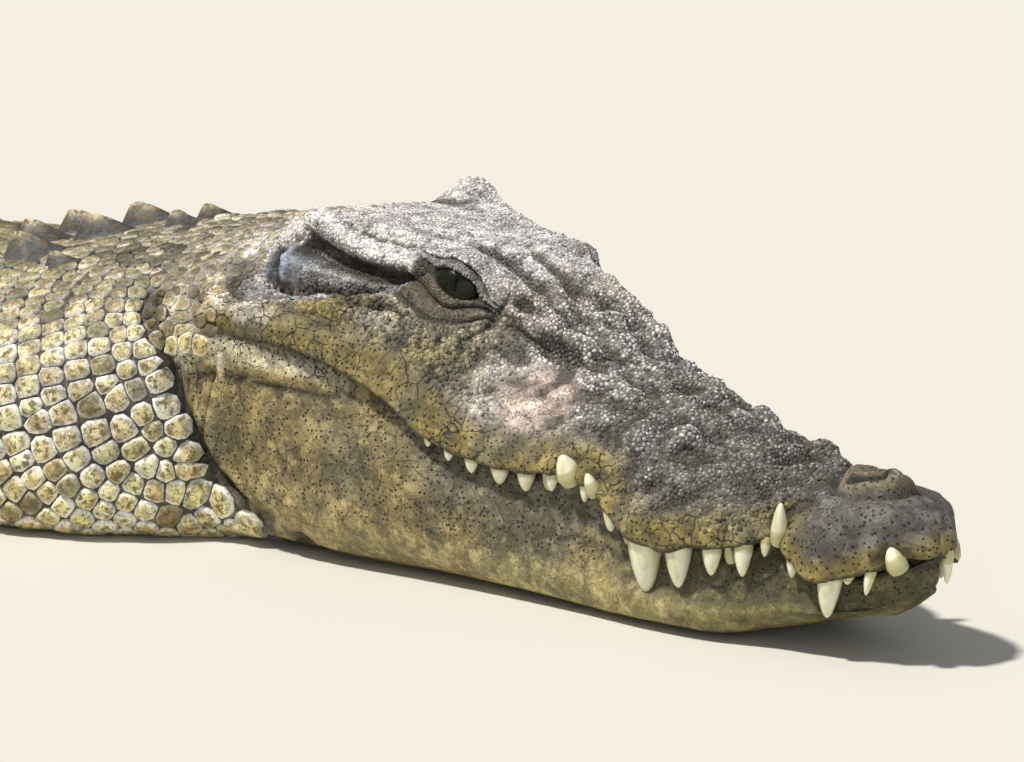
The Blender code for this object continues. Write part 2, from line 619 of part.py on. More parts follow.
def digit_mesh(root, direction, length, radius, claw):
    """A toe that arches to the floor and ends in a claw, or in a blunt tip without one."""
    across = Vector((math.cos(direction), math.sin(direction), 0))
    stages = [(0.0, 1.10, 0.85), (0.45, 1.0, 1.0), (1.0, 0.72, 0.60)]
    if claw:
        stages += [(1.03, 0.42, 0.50), (1.36, 0.08, 0.10)]
    points, sizes = [], []
    for share, size, height in stages:
        points.append(Vector(root) + across * length * share + Vector((0, 0, radius * height)))
        sizes.append((radius * size, radius * size * 0.85))
    return limb_mesh("digit", points, sizes, 5)


FRONT_DIGITS = ((-46, 0.050, True), (-22, 0.066, True), (0, 0.070, True), (24, 0.062, False), (50, 0.050, False))
REAR_DIGITS = ((-30, 0.078, True), (-10, 0.112, True), (10, 0.118, True), (30, 0.096, False))


def foot(name, wrist, heading, palm, digits, radius, side):
    """A palm with its toes, pointing along heading; the toes are counted from the inner side."""
    length, half_width, thickness = palm
    across = Vector((math.cos(heading), math.sin(heading), 0))
    start = Vector(wrist)
    front = Vector((start.x, start.y, 0)) + across * length
    points = [start, start.lerp(front, 0.45) + Vector((0, 0, -0.002)), front + Vector((0, 0, thickness * 0.45))]
    sizes = [(half_width * 0.62, start.z * 0.95), (half_width * 0.92, thickness * 0.80), (half_width, thickness * 0.45)]
    base = add_object(name, limb_mesh(name, points, sizes, 10), "leg_hide")
    sideways = across.cross(Vector((0, 0, 1)))
    meshes = []
    for angle, reach, claw in digits:
        turn = heading + side * math.radians(angle) * 0.72
        offset = -side * math.sin(math.radians(angle)) * half_width * 0.92
        root = front + sideways * offset - across * 0.030
        meshes.append(digit_mesh((root.x, root.y, 0), turn, reach + 0.030, radius, claw))
    toes = as_helper(add_object(f"{name}_toes", joined_mesh(f"{name}_toes", meshes), "leg_hide"))
    add_boolean(base, toes, "UNION", self_crossing=True)
    return base


def leg(names, side, path, sizes, heading, palm, digits, radius, cutter):
    """Upper leg, lower leg and foot; the path's middle is the elbow or the knee."""
    upper_name, lower_name, foot_name = names
    points = [(x, side * y, z) for x, y, z in path]
    places, widths = along_path(points, sizes, 9)
    rings = limb_rings(places, widths, 10)
    middle = len(rings) // 2
    upper = add_object(upper_name, rings_mesh(upper_name, rings[: middle + 1]), "leg_hide")
    add_boolean(upper, cutter, "DIFFERENCE")
    bend_axis = places[middle + 1] - places[middle - 1]
    rings[middle] = rings[middle] + 2 * CUT * bend_axis / np.linalg.norm(bend_axis)
    add_object(lower_name, rings_mesh(lower_name, rings[middle:]), "leg_hide")
    reach = places[-1] - places[-2]
    places[-1] += CUT * reach / np.linalg.norm(reach)
    room = limb_mesh(f"{lower_name}_room", places[middle + 1 :], widths[middle + 1 :] + 3 * CUT, 10)
    base = foot(foot_name, points[-1], side * heading, palm, digits, radius, side)
    add_boolean(base, as_helper(add_object(room.name, room, "leg_hide")), "DIFFERENCE")


FRONT_PATH = (
    (0.400, 0.110, 0.115), (0.315, 0.225, 0.118), (0.215, 0.312, 0.092), (0.262, 0.378, 0.058),
    (0.330, 0.420, 0.034),
)
FRONT_SIZES = ((0.066, 0.074), (0.060, 0.064), (0.050, 0.050), (0.041, 0.038), (0.031, 0.027))
REAR_PATH = (
    (-0.410, 0.080, 0.130), (-0.350, 0.220, 0.142), (-0.285, 0.325, 0.112), (-0.335, 0.400, 0.070),
    (-0.395, 0.455, 0.040),
)
REAR_SIZES = ((0.098, 0.092), (0.090, 0.084), (0.066, 0.062), (0.050, 0.046), (0.036, 0.032))


def build_legs():
    stations = trunk_stations()
    stations = np.concatenate([[stations[0] - 0.03], stations, [stations[-1] + 0.03]])
    cutter = as_helper(body_length("trunk_room", stations, 13, "back_hide", grow=2 * CUT))
    for side, word in ((-1, "right"), (1, "left")):
        leg(
            (f"{word}_upper_arm", f"{word}_forearm", f"{word}_hand"), side, FRONT_PATH, FRONT_SIZES,
            math.radians(32), (0.075, 0.046, 0.034), FRONT_DIGITS, 0.0125, cutter,
        )
        leg(
            (f"{word}_thigh", f"{word}_shank", f"{word}_foot"), side, REAR_PATH, REAR_SIZES,
            math.radians(46), (0.105, 0.052, 0.042), REAR_DIGITS, 0.0150, cutter,
        )


# ---------------------------------------------------------------- the whole animal
def clear_scene():
    for obj in list(bpy.data.objects):
        bpy.data.objects.remove(obj)


def trunk_stations():
    return np.linspace(SHOULDER_STATION + CUT, VENT_STATION, 13)


def build_body():
    neck_start = HEAD_LENGTH + JAW_BEHIND + CUT
    body_length("neck", np.linspace(neck_start, SHOULDER_STATION, 7), 12, "neck_hide")
    body_length("trunk", trunk_stations(), 13, "back_hide")
    ends = (VENT_STATION, *TAIL_CUTS, TOTAL_LENGTH)
    for number, (start, end) in enumerate(zip(ends, ends[1:]), 1):
        last = number == len(ends) - 1
        stations = np.linspace(start + CUT, end, round((end - start) / 0.08) + 1)
        length = body_length(f"tail_{number}", stations, 7, "tail_hide", tip=last)
        add_boolean(length, crest_helper(f"crest_{number}", start + CUT, end), "UNION")


def main():
    clear_scene()
    build_head()
    build_body()
    build_legs()


main()
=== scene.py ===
"""A life-size saltwater crocodile on a plain floor: one skin, a coat of scales, eyes, teeth and claws.

Metres, +Z up, in the part's frame. Most shapes are worked out along a straightened animal, whose places
are (ahead, left, up): ahead is measured forwards from the back edge of the skull roof, and "station"
backwards from the tip of the snout. place() bends such places along the spine.
"""

import itertools
import math

import bmesh
import bpy
import numpy as np
from mathutils import Matrix, Vector
from mathutils.bvhtree import BVHTree
from mathutils.kdtree import KDTree


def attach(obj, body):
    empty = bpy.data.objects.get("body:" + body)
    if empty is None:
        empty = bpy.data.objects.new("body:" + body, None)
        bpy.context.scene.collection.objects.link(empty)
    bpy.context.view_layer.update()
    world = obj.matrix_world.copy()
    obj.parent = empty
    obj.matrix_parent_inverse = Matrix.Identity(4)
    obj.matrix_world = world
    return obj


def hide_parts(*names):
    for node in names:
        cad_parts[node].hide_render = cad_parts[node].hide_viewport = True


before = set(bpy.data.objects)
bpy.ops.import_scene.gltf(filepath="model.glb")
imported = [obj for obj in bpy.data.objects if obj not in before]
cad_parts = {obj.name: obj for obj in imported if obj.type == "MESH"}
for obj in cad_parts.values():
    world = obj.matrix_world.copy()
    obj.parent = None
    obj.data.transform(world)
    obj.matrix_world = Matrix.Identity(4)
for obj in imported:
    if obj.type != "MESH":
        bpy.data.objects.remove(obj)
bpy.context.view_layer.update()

# ---------------------------------------------------------------- sizes
TOTAL_LENGTH = 4.0
HEAD_LENGTH = 0.556  # tip of the snout to the back edge of the skull roof
SHOULDER_STATION = 0.96
BELLY_STATION = 1.50  # the station of the origin
VENT_STATION = 2.04
HEAD_TURN = math.radians(28)
UNDER_FLOOR = 0.005  # how far the belly and chin would reach below the floor before it flattens them
LIP_INSET = 0.0165  # how far the lower lip stands inside the upper one
EYE_RADIUS = 0.0250
EYE_PLACE = np.array((0.131, 0.0545, 0.2020))  # ahead, outwards, up


# ---------------------------------------------------------------- curves
class Profile:
    """A smooth curve through a few (place, value) pairs that never overshoots them."""

    def __init__(self, *pairs):
        self.place, self.value = np.array(pairs, float).T
        rise = np.diff(self.value) / np.diff(self.place)
        before, after = rise[:-1], rise[1:]
        same_way = before * after > 0
        inner = np.where(same_way, 2 * before * after / np.where(same_way, before + after, 1), 0)
        self.slope = np.concatenate([rise[:1], inner, rise[-1:]])

    def __call__(self, at):
        at = np.clip(np.asarray(at, float), self.place[0], self.place[-1])
        i = np.clip(np.searchsorted(self.place, at) - 1, 0, len(self.place) - 2)
        width = self.place[i + 1] - self.place[i]
        t = (at - self.place[i]) / width
        return (
            self.value[i] * (1 + 2 * t) * (1 - t) ** 2
            + self.value[i + 1] * t * t * (3 - 2 * t)
            + self.slope[i] * width * t * (1 - t) ** 2
            - self.slope[i + 1] * width * t * t * (1 - t)
        )


def smooth_step(low, high, at):
    t = np.clip((np.asarray(at, float) - low) / (high - low), 0, 1)
    return t * t * (3 - 2 * t)


def arc_fall(start, end, at):
    """1 up to start, then a quarter of an ellipse down to 0 at end."""
    t = np.clip((np.asarray(at, float) - start) / (end - start), 0, 1)
    return np.sqrt(1 - t * t)


# ---------------------------------------------------------------- neck, trunk and tail, by station
HALF_WIDTH = Profile(
    (0.55, 0.158), (0.62, 0.170), (0.68, 0.200), (0.74, 0.224), (0.82, 0.234), (0.94, 0.233),
    (1.06, 0.230), (1.26, 0.262), (1.50, 0.284), (1.74, 0.250), (1.94, 0.190), (2.10, 0.158),
    (2.45, 0.124), (2.85, 0.090), (3.25, 0.058), (3.65, 0.030), (3.90, 0.013), (4.00, 0.006),
)
BACK_HEIGHT = Profile(
    (0.55, 0.240), (0.64, 0.231), (0.72, 0.221), (0.80, 0.209), (0.90, 0.194), (1.04, 0.188),
    (1.18, 0.212), (1.34, 0.264), (1.52, 0.300), (1.76, 0.290), (1.96, 0.258), (2.15, 0.232),
    (2.50, 0.196), (2.90, 0.156), (3.30, 0.116), (3.65, 0.080), (3.90, 0.050), (4.00, 0.034),
)
WIDEST_HEIGHT = Profile(
    (0.55, 0.150), (0.66, 0.120), (0.80, 0.088), (1.04, 0.080), (1.40, 0.112), (1.95, 0.112),
    (2.50, 0.086), (3.20, 0.052), (3.80, 0.026), (4.00, 0.014),
)
BACK_SQUARENESS = Profile((0.60, 2.0), (1.20, 2.4), (2.00, 2.3), (2.60, 1.9), (4.00, 1.6))
BELLY_SQUARENESS = Profile((0.56, 3.0), (0.66, 6.0), (0.90, 6.0), (1.20, 3.2), (2.00, 2.8), (4.00, 2.3))

# ---------------------------------------------------------------- head, by "ahead"
TOP_HEIGHT = Profile(
    (-0.10, 0.236), (-0.02, 0.243), (0.05, 0.241), (0.12, 0.230), (0.16, 0.219), (0.20, 0.201),
    (0.25, 0.177), (0.315, 0.149), (0.38, 0.126), (0.44, 0.113), (0.50, 0.112), (0.56, 0.110),
)
EDGE_WIDTH = Profile(
    (-0.10, 0.090), (-0.02, 0.076), (0.05, 0.071), (0.10, 0.064), (0.16, 0.057), (0.20, 0.049),
    (0.25, 0.044), (0.38, 0.042), (0.43, 0.033), (0.46, 0.029), (0.50, 0.036), (0.56, 0.034),
)
EDGE_HEIGHT = Profile(
    (-0.10, 0.222), (-0.02, 0.241), (0.05, 0.237), (0.10, 0.229), (0.16, 0.214), (0.20, 0.194),
    (0.25, 0.168), (0.315, 0.139), (0.38, 0.117), (0.43, 0.107), (0.50, 0.108), (0.56, 0.106),
)
TEMPLE_WIDTH = Profile(
    (-0.10, 0.120), (-0.02, 0.094), (0.05, 0.088), (0.10, 0.083), (0.16, 0.076), (0.20, 0.068),
    (0.25, 0.062), (0.38, 0.062), (0.43, 0.050), (0.46, 0.041), (0.50, 0.048), (0.56, 0.046),
)
TEMPLE_HEIGHT = Profile(
    (-0.10, 0.204), (-0.02, 0.201), (0.10, 0.197), (0.16, 0.184), (0.20, 0.169), (0.25, 0.150),
    (0.315, 0.123), (0.38, 0.104), (0.43, 0.097), (0.50, 0.095), (0.56, 0.094),
)
CHEEK_WIDTH = Profile(
    (-0.10, 0.146), (-0.02, 0.139), (0.05, 0.131), (0.10, 0.122), (0.16, 0.109), (0.20, 0.098),
    (0.25, 0.087), (0.315, 0.080), (0.36, 0.081), (0.40, 0.072), (0.43, 0.061), (0.455, 0.049),
    (0.495, 0.056), (0.56, 0.053),
)
CHEEK_HEIGHT = Profile(
    (-0.10, 0.176), (0.05, 0.179), (0.10, 0.176), (0.16, 0.160), (0.20, 0.144), (0.25, 0.126),
    (0.315, 0.107), (0.36, 0.087), (0.43, 0.087), (0.46, 0.087), (0.495, 0.078), (0.56, 0.082),
)
LIP_WIDTH = Profile(
    (-0.10, 0.156), (0.00, 0.150), (0.06, 0.142), (0.10, 0.136), (0.14, 0.129), (0.20, 0.115),
    (0.25, 0.104), (0.30, 0.094), (0.345, 0.090), (0.375, 0.086), (0.40, 0.080), (0.43, 0.067),
    (0.455, 0.054), (0.490, 0.057), (0.52, 0.055), (0.56, 0.050),
)
LIP_HEIGHT = Profile(
    (-0.10, 0.160), (0.00, 0.163), (0.06, 0.158), (0.10, 0.146), (0.14, 0.130), (0.17, 0.111),
    (0.20, 0.102), (0.25, 0.0965), (0.28, 0.0980), (0.305, 0.0970), (0.327, 0.0890), (0.345, 0.0730),
    (0.362, 0.0665), (0.382, 0.0615), (0.40, 0.067), (0.43, 0.070), (0.453, 0.078), (0.475, 0.066),
    (0.495, 0.056), (0.515, 0.061), (0.535, 0.069), (0.56, 0.078),
)
JAW_SIDE_INSET = Profile(
    (-0.10, 0.000), (0.10, 0.001), (0.20, 0.006), (0.26, 0.012), (0.33, 0.018), (0.40, 0.016),
    (0.46, 0.008), (0.50, 0.014), (0.56, 0.010),
)
KEEL_WIDTH = Profile(
    (-0.10, 0.160), (0.00, 0.132), (0.07, 0.120), (0.15, 0.100), (0.25, 0.086), (0.345, 0.078),
    (0.40, 0.066), (0.45, 0.048), (0.52, 0.040), (0.56, 0.034),
)
KEEL_HEIGHT = Profile(
    (-0.10, 0.012), (0.20, 0.009), (0.40, 0.008), (0.44, 0.016), (0.48, 0.028), (0.56, 0.042),
)
CHIN_HEIGHT = Profile(
    (-0.10, -UNDER_FLOOR), (0.38, -UNDER_FLOOR), (0.44, 0.010), (0.50, 0.024), (0.56, 0.036),
)

SNOUT_ARC = 0.072  # the length of the rounded end of the snout, in plan
NOSE_ARC = 0.034  # and in profile
UNDERBITE = 0.009  # how far the lower jaw ends behind the upper one
TIP_HEIGHT = 0.079
UPPER_PLACES = np.array([0.0, 0.10, 0.19, 0.27, 0.38, 0.50])  # turns of crown, roof, edge, temple, cheek, lip
LOWER_PLACES = np.array([0.50, 0.66, 0.86, 1.0])  # turns of lip, side of the jaw, keel, chin


def spline(keys, places, at, slope_first, slope_last):
    """Smooth values between the keys of one section; the end slopes are given."""
    slope = np.empty_like(keys)
    slope[:, 1:-1] = (keys[:, 2:] - keys[:, :-2]) / (places[2:] - places[:-2])
    slope[:, 0], slope[:, -1] = slope_first, slope_last
    i = np.clip(np.searchsorted(places, at) - 1, 0, len(places) - 2)
    width = places[i + 1] - places[i]
    t = (at - places[i]) / width
    return (
        keys[:, i] * (1 + 2 * t) * (1 - t) ** 2
        + keys[:, i + 1] * t * t * (3 - 2 * t)
        + slope[:, i] * width * t * (1 - t) ** 2
        - slope[:, i + 1] * width * t * t * (1 - t)
    )


def head_section(ahead, turn, lower):
    """(outwards, up) of a half section of the head at each turn: crown at 0, lip at 0.5, chin at 1."""
    plan = arc_fall(HEAD_LENGTH - SNOUT_ARC, HEAD_LENGTH - (UNDERBITE if lower else 0), ahead)
    face = arc_fall(HEAD_LENGTH - NOSE_ARC, HEAD_LENGTH, ahead)
    lip_width, lip_height = LIP_WIDTH(ahead), LIP_HEIGHT(ahead)
    if lower:
        closed = smooth_step(0.0, 0.08, ahead)
        side_width = lip_width - JAW_SIDE_INSET(ahead)
        outwards = [lip_width - LIP_INSET * closed, side_width, KEEL_WIDTH(ahead), 0 * ahead]
        up = [lip_height, 0.52 * lip_height + 0.006, KEEL_HEIGHT(ahead), CHIN_HEIGHT(ahead)]
        places = LOWER_PLACES
    else:
        top, edge = TOP_HEIGHT(ahead), EDGE_HEIGHT(ahead)
        outwards = [
            0 * ahead, 0.55 * EDGE_WIDTH(ahead), EDGE_WIDTH(ahead), TEMPLE_WIDTH(ahead),
            CHEEK_WIDTH(ahead), lip_width,
        ]
        up = [top, 0.45 * top + 0.55 * edge, edge, TEMPLE_HEIGHT(ahead), CHEEK_HEIGHT(ahead), lip_height]
        places = UPPER_PLACES
    outwards = np.stack(outwards, 1) * plan[:, None]
    up = TIP_HEIGHT + (np.stack(up, 1) - TIP_HEIGHT) * face[:, None]
    first = (outwards[:, 1] - outwards[:, 0]) / (places[1] - places[0])
    last = (outwards[:, -1] - outwards[:, -2]) / (places[-1] - places[-2])
    up_first = (up[:, 1] - up[:, 0]) / (places[1] - places[0])
    up_last = (up[:, -1] - up[:, -2]) / (places[-1] - places[-2])
    if lower:  # upright at the lip and level under the chin
        return (spline(outwards, places, turn, 0 * first, last),
                spline(up, places, turn, up_first, 0 * up_last))
    return (spline(outwards, places, turn, first, 0.4 * last),
            spline(up, places, turn, 0 * up_first, up_last))


def body_section(station, turn):
    """The same for the neck, trunk and tail: a rounded box, fuller below."""
    angle = math.pi * turn[None, :]
    upper = turn[None, :] <= 0.5
    squareness = np.where(upper, BACK_SQUARENESS(station)[:, None], BELLY_SQUARENESS(station)[:, None])
    widest = WIDEST_HEIGHT(station)[:, None]
    height = np.where(upper, BACK_HEIGHT(station)[:, None] - widest, widest + UNDER_FLOOR)
    sine = np.abs(np.sin(angle)) ** (2 / squareness)
    cosine = np.abs(np.cos(angle)) ** (2 / squareness) * np.where(upper, 1, -1)
    return HALF_WIDTH(station)[:, None] * sine, widest + height * cosine


def half_section(station, turn, lower=False):
    """(outwards, up) for each station and turn; behind the skull the head's passes into the neck's."""
    ahead = HEAD_LENGTH - station
    head = head_section(ahead, turn, lower)
    body = body_section(station, turn)
    share = smooth_step(0.02, -0.12, ahead)[:, None]
    return tuple((1 - share) * h + share * b for h, b in zip(head, body))


# ---------------------------------------------------------------- the spine, in plan
HEADING = Profile(
    (0.00, -HEAD_TURN), (0.56, -HEAD_TURN), (0.67, -0.6 * HEAD_TURN), (0.82, -0.25 * HEAD_TURN),
    (1.04, 0.0), (2.00, 0.0), (2.50, 0.22), (2.95, 0.42), (3.45, 0.16), (4.00, -0.42),
)
STATIONS = np.linspace(0, TOTAL_LENGTH, 4001)


def spine_line():
    """The plan places of STATIONS, with the belly's station at the origin."""
    heading = HEADING(STATIONS)
    steps = np.stack([np.cos(heading), np.sin(heading)], 1) * (STATIONS[1] - STATIONS[0])
    line = -np.concatenate([np.zeros((1, 2)), np.cumsum((steps[1:] + steps[:-1]) / 2, axis=0)])
    return line - [np.interp(BELLY_STATION, STATIONS, line[:, k]) for k in (0, 1)]


SPINE = spine_line()


def place(station, left, up):
    """World points for places beside the spine."""
    station, left = np.asarray(station, float), np.asarray(left, float)
    heading = HEADING(station)
    x = np.interp(station, STATIONS, SPINE[:, 0]) - left * np.sin(heading)
    y = np.interp(station, STATIONS, SPINE[:, 1]) + left * np.cos(heading)
    return np.stack([x, y, up + 0 * x], -1)


# ---------------------------------------------------------------- swellings of the head
MOUNDS = (  # (ahead, outwards, up), half sizes, height, the way it pushes
    ((0.140, 0.047, 0.215), (0.054, 0.034, 0.050), 0.014, (0.0, 0.20, 0.98)),  # brow over the eye
    ((-0.006, 0.069, 0.243), (0.030, 0.025, 0.040), 0.013, (-0.30, 0.20, 0.93)),  # skull's back corner
    ((0.493, 0.000, 0.116), (0.038, 0.036, 0.040), 0.015, (0.0, 0.0, 1.0)),  # nostril mound
    ((0.235, 0.042, 0.175), (0.070, 0.020, 0.034), 0.006, (0.0, 0.35, 0.93)),  # ridge before the eye
    ((0.020, 0.140, 0.110), (0.110, 0.060, 0.060), 0.006, (-0.2, 0.97, 0.0)),  # jaw muscle
)


def swell(ahead, left, up):
    """Pushes head points outwards where the mounds are, the same on both sides."""
    side = np.where(left < 0, -1, 1)
    points = np.stack([ahead, np.abs(left), up], -1)
    pushed = points.copy()
    for centre, halves, height, push in MOUNDS:
        far = np.linalg.norm((points - centre) / np.array(halves), axis=-1)
        pushed += height * np.clip(1 - far * far, 0, 1)[..., None] ** 2 * np.array(push)
    middle = np.abs(left) < 1e-9
    pushed[..., 1] = np.where(middle, 0, pushed[..., 1] * side)
    return pushed[..., 0], pushed[..., 1], pushed[..., 2]


# ---------------------------------------------------------------- the head's own shape
BROW_SHIFT = Profile(  # how far the brows and the upper snout lie back, by ahead; they lie inwards as well
    (0.010, 0.0), (0.090, 0.0060), (0.160, 0.0085), (0.240, 0.0085), (0.320, 0.0035), (0.390, 0.0),
)
TIP_SHIFT = Profile((0.465, 0.0), (0.500, 0.0038), (0.560, 0.0104))
LIP_SHIFT = Profile(  # how far the lips and the jaw lie back
    (0.120, 0.0), (0.170, 0.0040), (0.210, 0.0065), (0.260, 0.0075), (0.300, 0.0100), (0.360, 0.0135),
    (0.400, 0.0100), (0.455, 0.0105), (0.490, 0.0150), (0.515, 0.0165), (0.535, 0.0130), (0.560, 0.0104),
)


def true_head(points):
    """Narrows the brows and the snout's tip and sets the lips back; points are straightened."""
    moved = np.array(points, float)
    ahead, up = moved[:, 0].copy(), moved[:, 2]
    out = np.abs(moved[:, 1])
    lip, top = LIP_HEIGHT(ahead), TOP_HEIGHT(ahead)
    high = smooth_step(0.30, 0.80, (up - lip) / (top - lip))
    shift = BROW_SHIFT(ahead) * high
    inwards = 0.85 * shift * smooth_step(0.0, 0.045, out) + 0.095 * out * smooth_step(0.455, 0.520, ahead)
    chin = 0.007 * smooth_step(0.47, 0.54, ahead) * smooth_step(0.065, 0.035, up)
    moved[:, 0] -= shift + TIP_SHIFT(ahead) * high + LIP_SHIFT(ahead) * (1 - high) + chin
    moved[:, 1] -= np.sign(moved[:, 1]) * inwards
    moved[:, 2] -= 0.18 * shift
    return moved


def plain_head(points):
    """The way back from true_head."""
    plain = np.array(points, float)
    for _ in range(6):
        plain = plain - (true_head(plain) - points)
    return plain


# ---------------------------------------------------------------- the way back from the bent animal
COARSE = np.linspace(0, TOTAL_LENGTH, 401)
AT_ONCE = 20000  # points straightened at a time, to spare memory


def on_spine(stations):
    return np.stack([np.interp(stations, STATIONS, SPINE[:, k]) for k in (0, 1)], 1)


def straighten(points):
    """(ahead, left, up) of world points."""
    points = np.asarray(points, float)
    line = on_spine(COARSE)
    station = np.empty(len(points))
    for first in range(0, len(points), AT_ONCE):
        part = points[first : first + AT_ONCE, :2]
        far = ((part[:, None] - line[None]) ** 2).sum(-1)
        station[first : first + AT_ONCE] = COARSE[far.argmin(1)]
    for _ in range(4):
        heading = HEADING(station)
        along = np.stack([np.cos(heading), np.sin(heading)], 1)
        from_line = points[:, :2] - on_spine(station)
        station = np.clip(station - (from_line * along).sum(1), -0.05, TOTAL_LENGTH)
    heading = HEADING(station)
    from_line = points[:, :2] - on_spine(station)
    left = -from_line[:, 0] * np.sin(heading) + from_line[:, 1] * np.cos(heading)
    return plain_head(np.stack([HEAD_LENGTH - station, left, points[:, 2]], 1))


# ---------------------------------------------------------------- scattered values in space
def scatter(cells, seed):
    """A value from 0 to 1 for each cell of whole numbers."""
    cells = cells.astype(np.int64)
    mixed = cells[..., 0] * 73856093 ^ cells[..., 1] * 19349663 ^ cells[..., 2] * 83492791 ^ seed * 60493
    mixed = ((mixed ^ (mixed >> 13)) * 1274126177) & 0xFFFFFFFF
    mixed = ((mixed ^ (mixed >> 15)) * 668265263) & 0xFFFFFFFF
    return ((mixed ^ (mixed >> 16)) & 0xFFFFFF) / 0xFFFFFF


def clouds(points, size, seed):
    """Smooth random values from -1 to 1; size is the width of one lump."""
    scaled = np.asarray(points) / np.asarray(size)
    base = np.floor(scaled)
    part = scaled - base
    part = part * part * (3 - 2 * part)
    total = np.zeros(len(scaled))
    for corner in itertools.product((0, 1), repeat=3):
        weight = np.prod(np.where(np.array(corner) == 1, part, 1 - part), axis=1)
        total += weight * scatter(base + corner, seed)
    return 2 * total - 1


def pebbles(points, size, seed):
    """The distances to the two nearest of points scattered one to each cell, and the nearest one's value."""
    size = np.asarray(size, float) * np.ones(3)
    scaled = np.asarray(points) / size
    base = np.floor(scaled)
    nearest = np.full(len(scaled), 9.0)
    second = nearest.copy()
    value = np.zeros(len(scaled))
    for step in itertools.product((-1, 0, 1), repeat=3):
        cell = base + step
        where = cell + np.stack([scatter(cell, seed + k) for k in (11, 22, 33)], 1)
        far = np.linalg.norm(scaled - where, axis=1)
        closer = far < nearest
        second = np.where(closer, nearest, np.minimum(second, far))
        value = np.where(closer, scatter(cell, seed), value)
        nearest = np.where(closer, far, nearest)
    return nearest * size.mean(), second * size.mean(), value


def line_distance(points, line):
    """Distance from a line of points, and the share of the line passed at its nearest place."""
    line = np.asarray(line, float)
    lengths = np.linalg.norm(np.diff(line, axis=0), axis=1)
    passed = np.concatenate([[0], np.cumsum(lengths)])
    best = np.full(len(points), 9.0)
    share = np.zeros(len(points))
    for k, (start, end) in enumerate(zip(line, line[1:])):
        reach = end - start
        t = np.clip((points - start) @ reach / (reach @ reach), 0, 1)
        far = np.linalg.norm(points - (start + t[:, None] * reach), axis=1)
        closer = far < best
        best = np.where(closer, far, best)
        share = np.where(closer, (passed[k] + t * lengths[k]) / passed[-1], share)
    return best, share


def fade_ends(share, start, end):
    """0 at the ends of a line and 1 between the two fade lengths."""
    low = np.clip(share / max(start, 1e-6), 0, 1)
    high = np.clip((1 - share) / max(end, 1e-6), 0, 1)
    return np.sqrt(low * high)


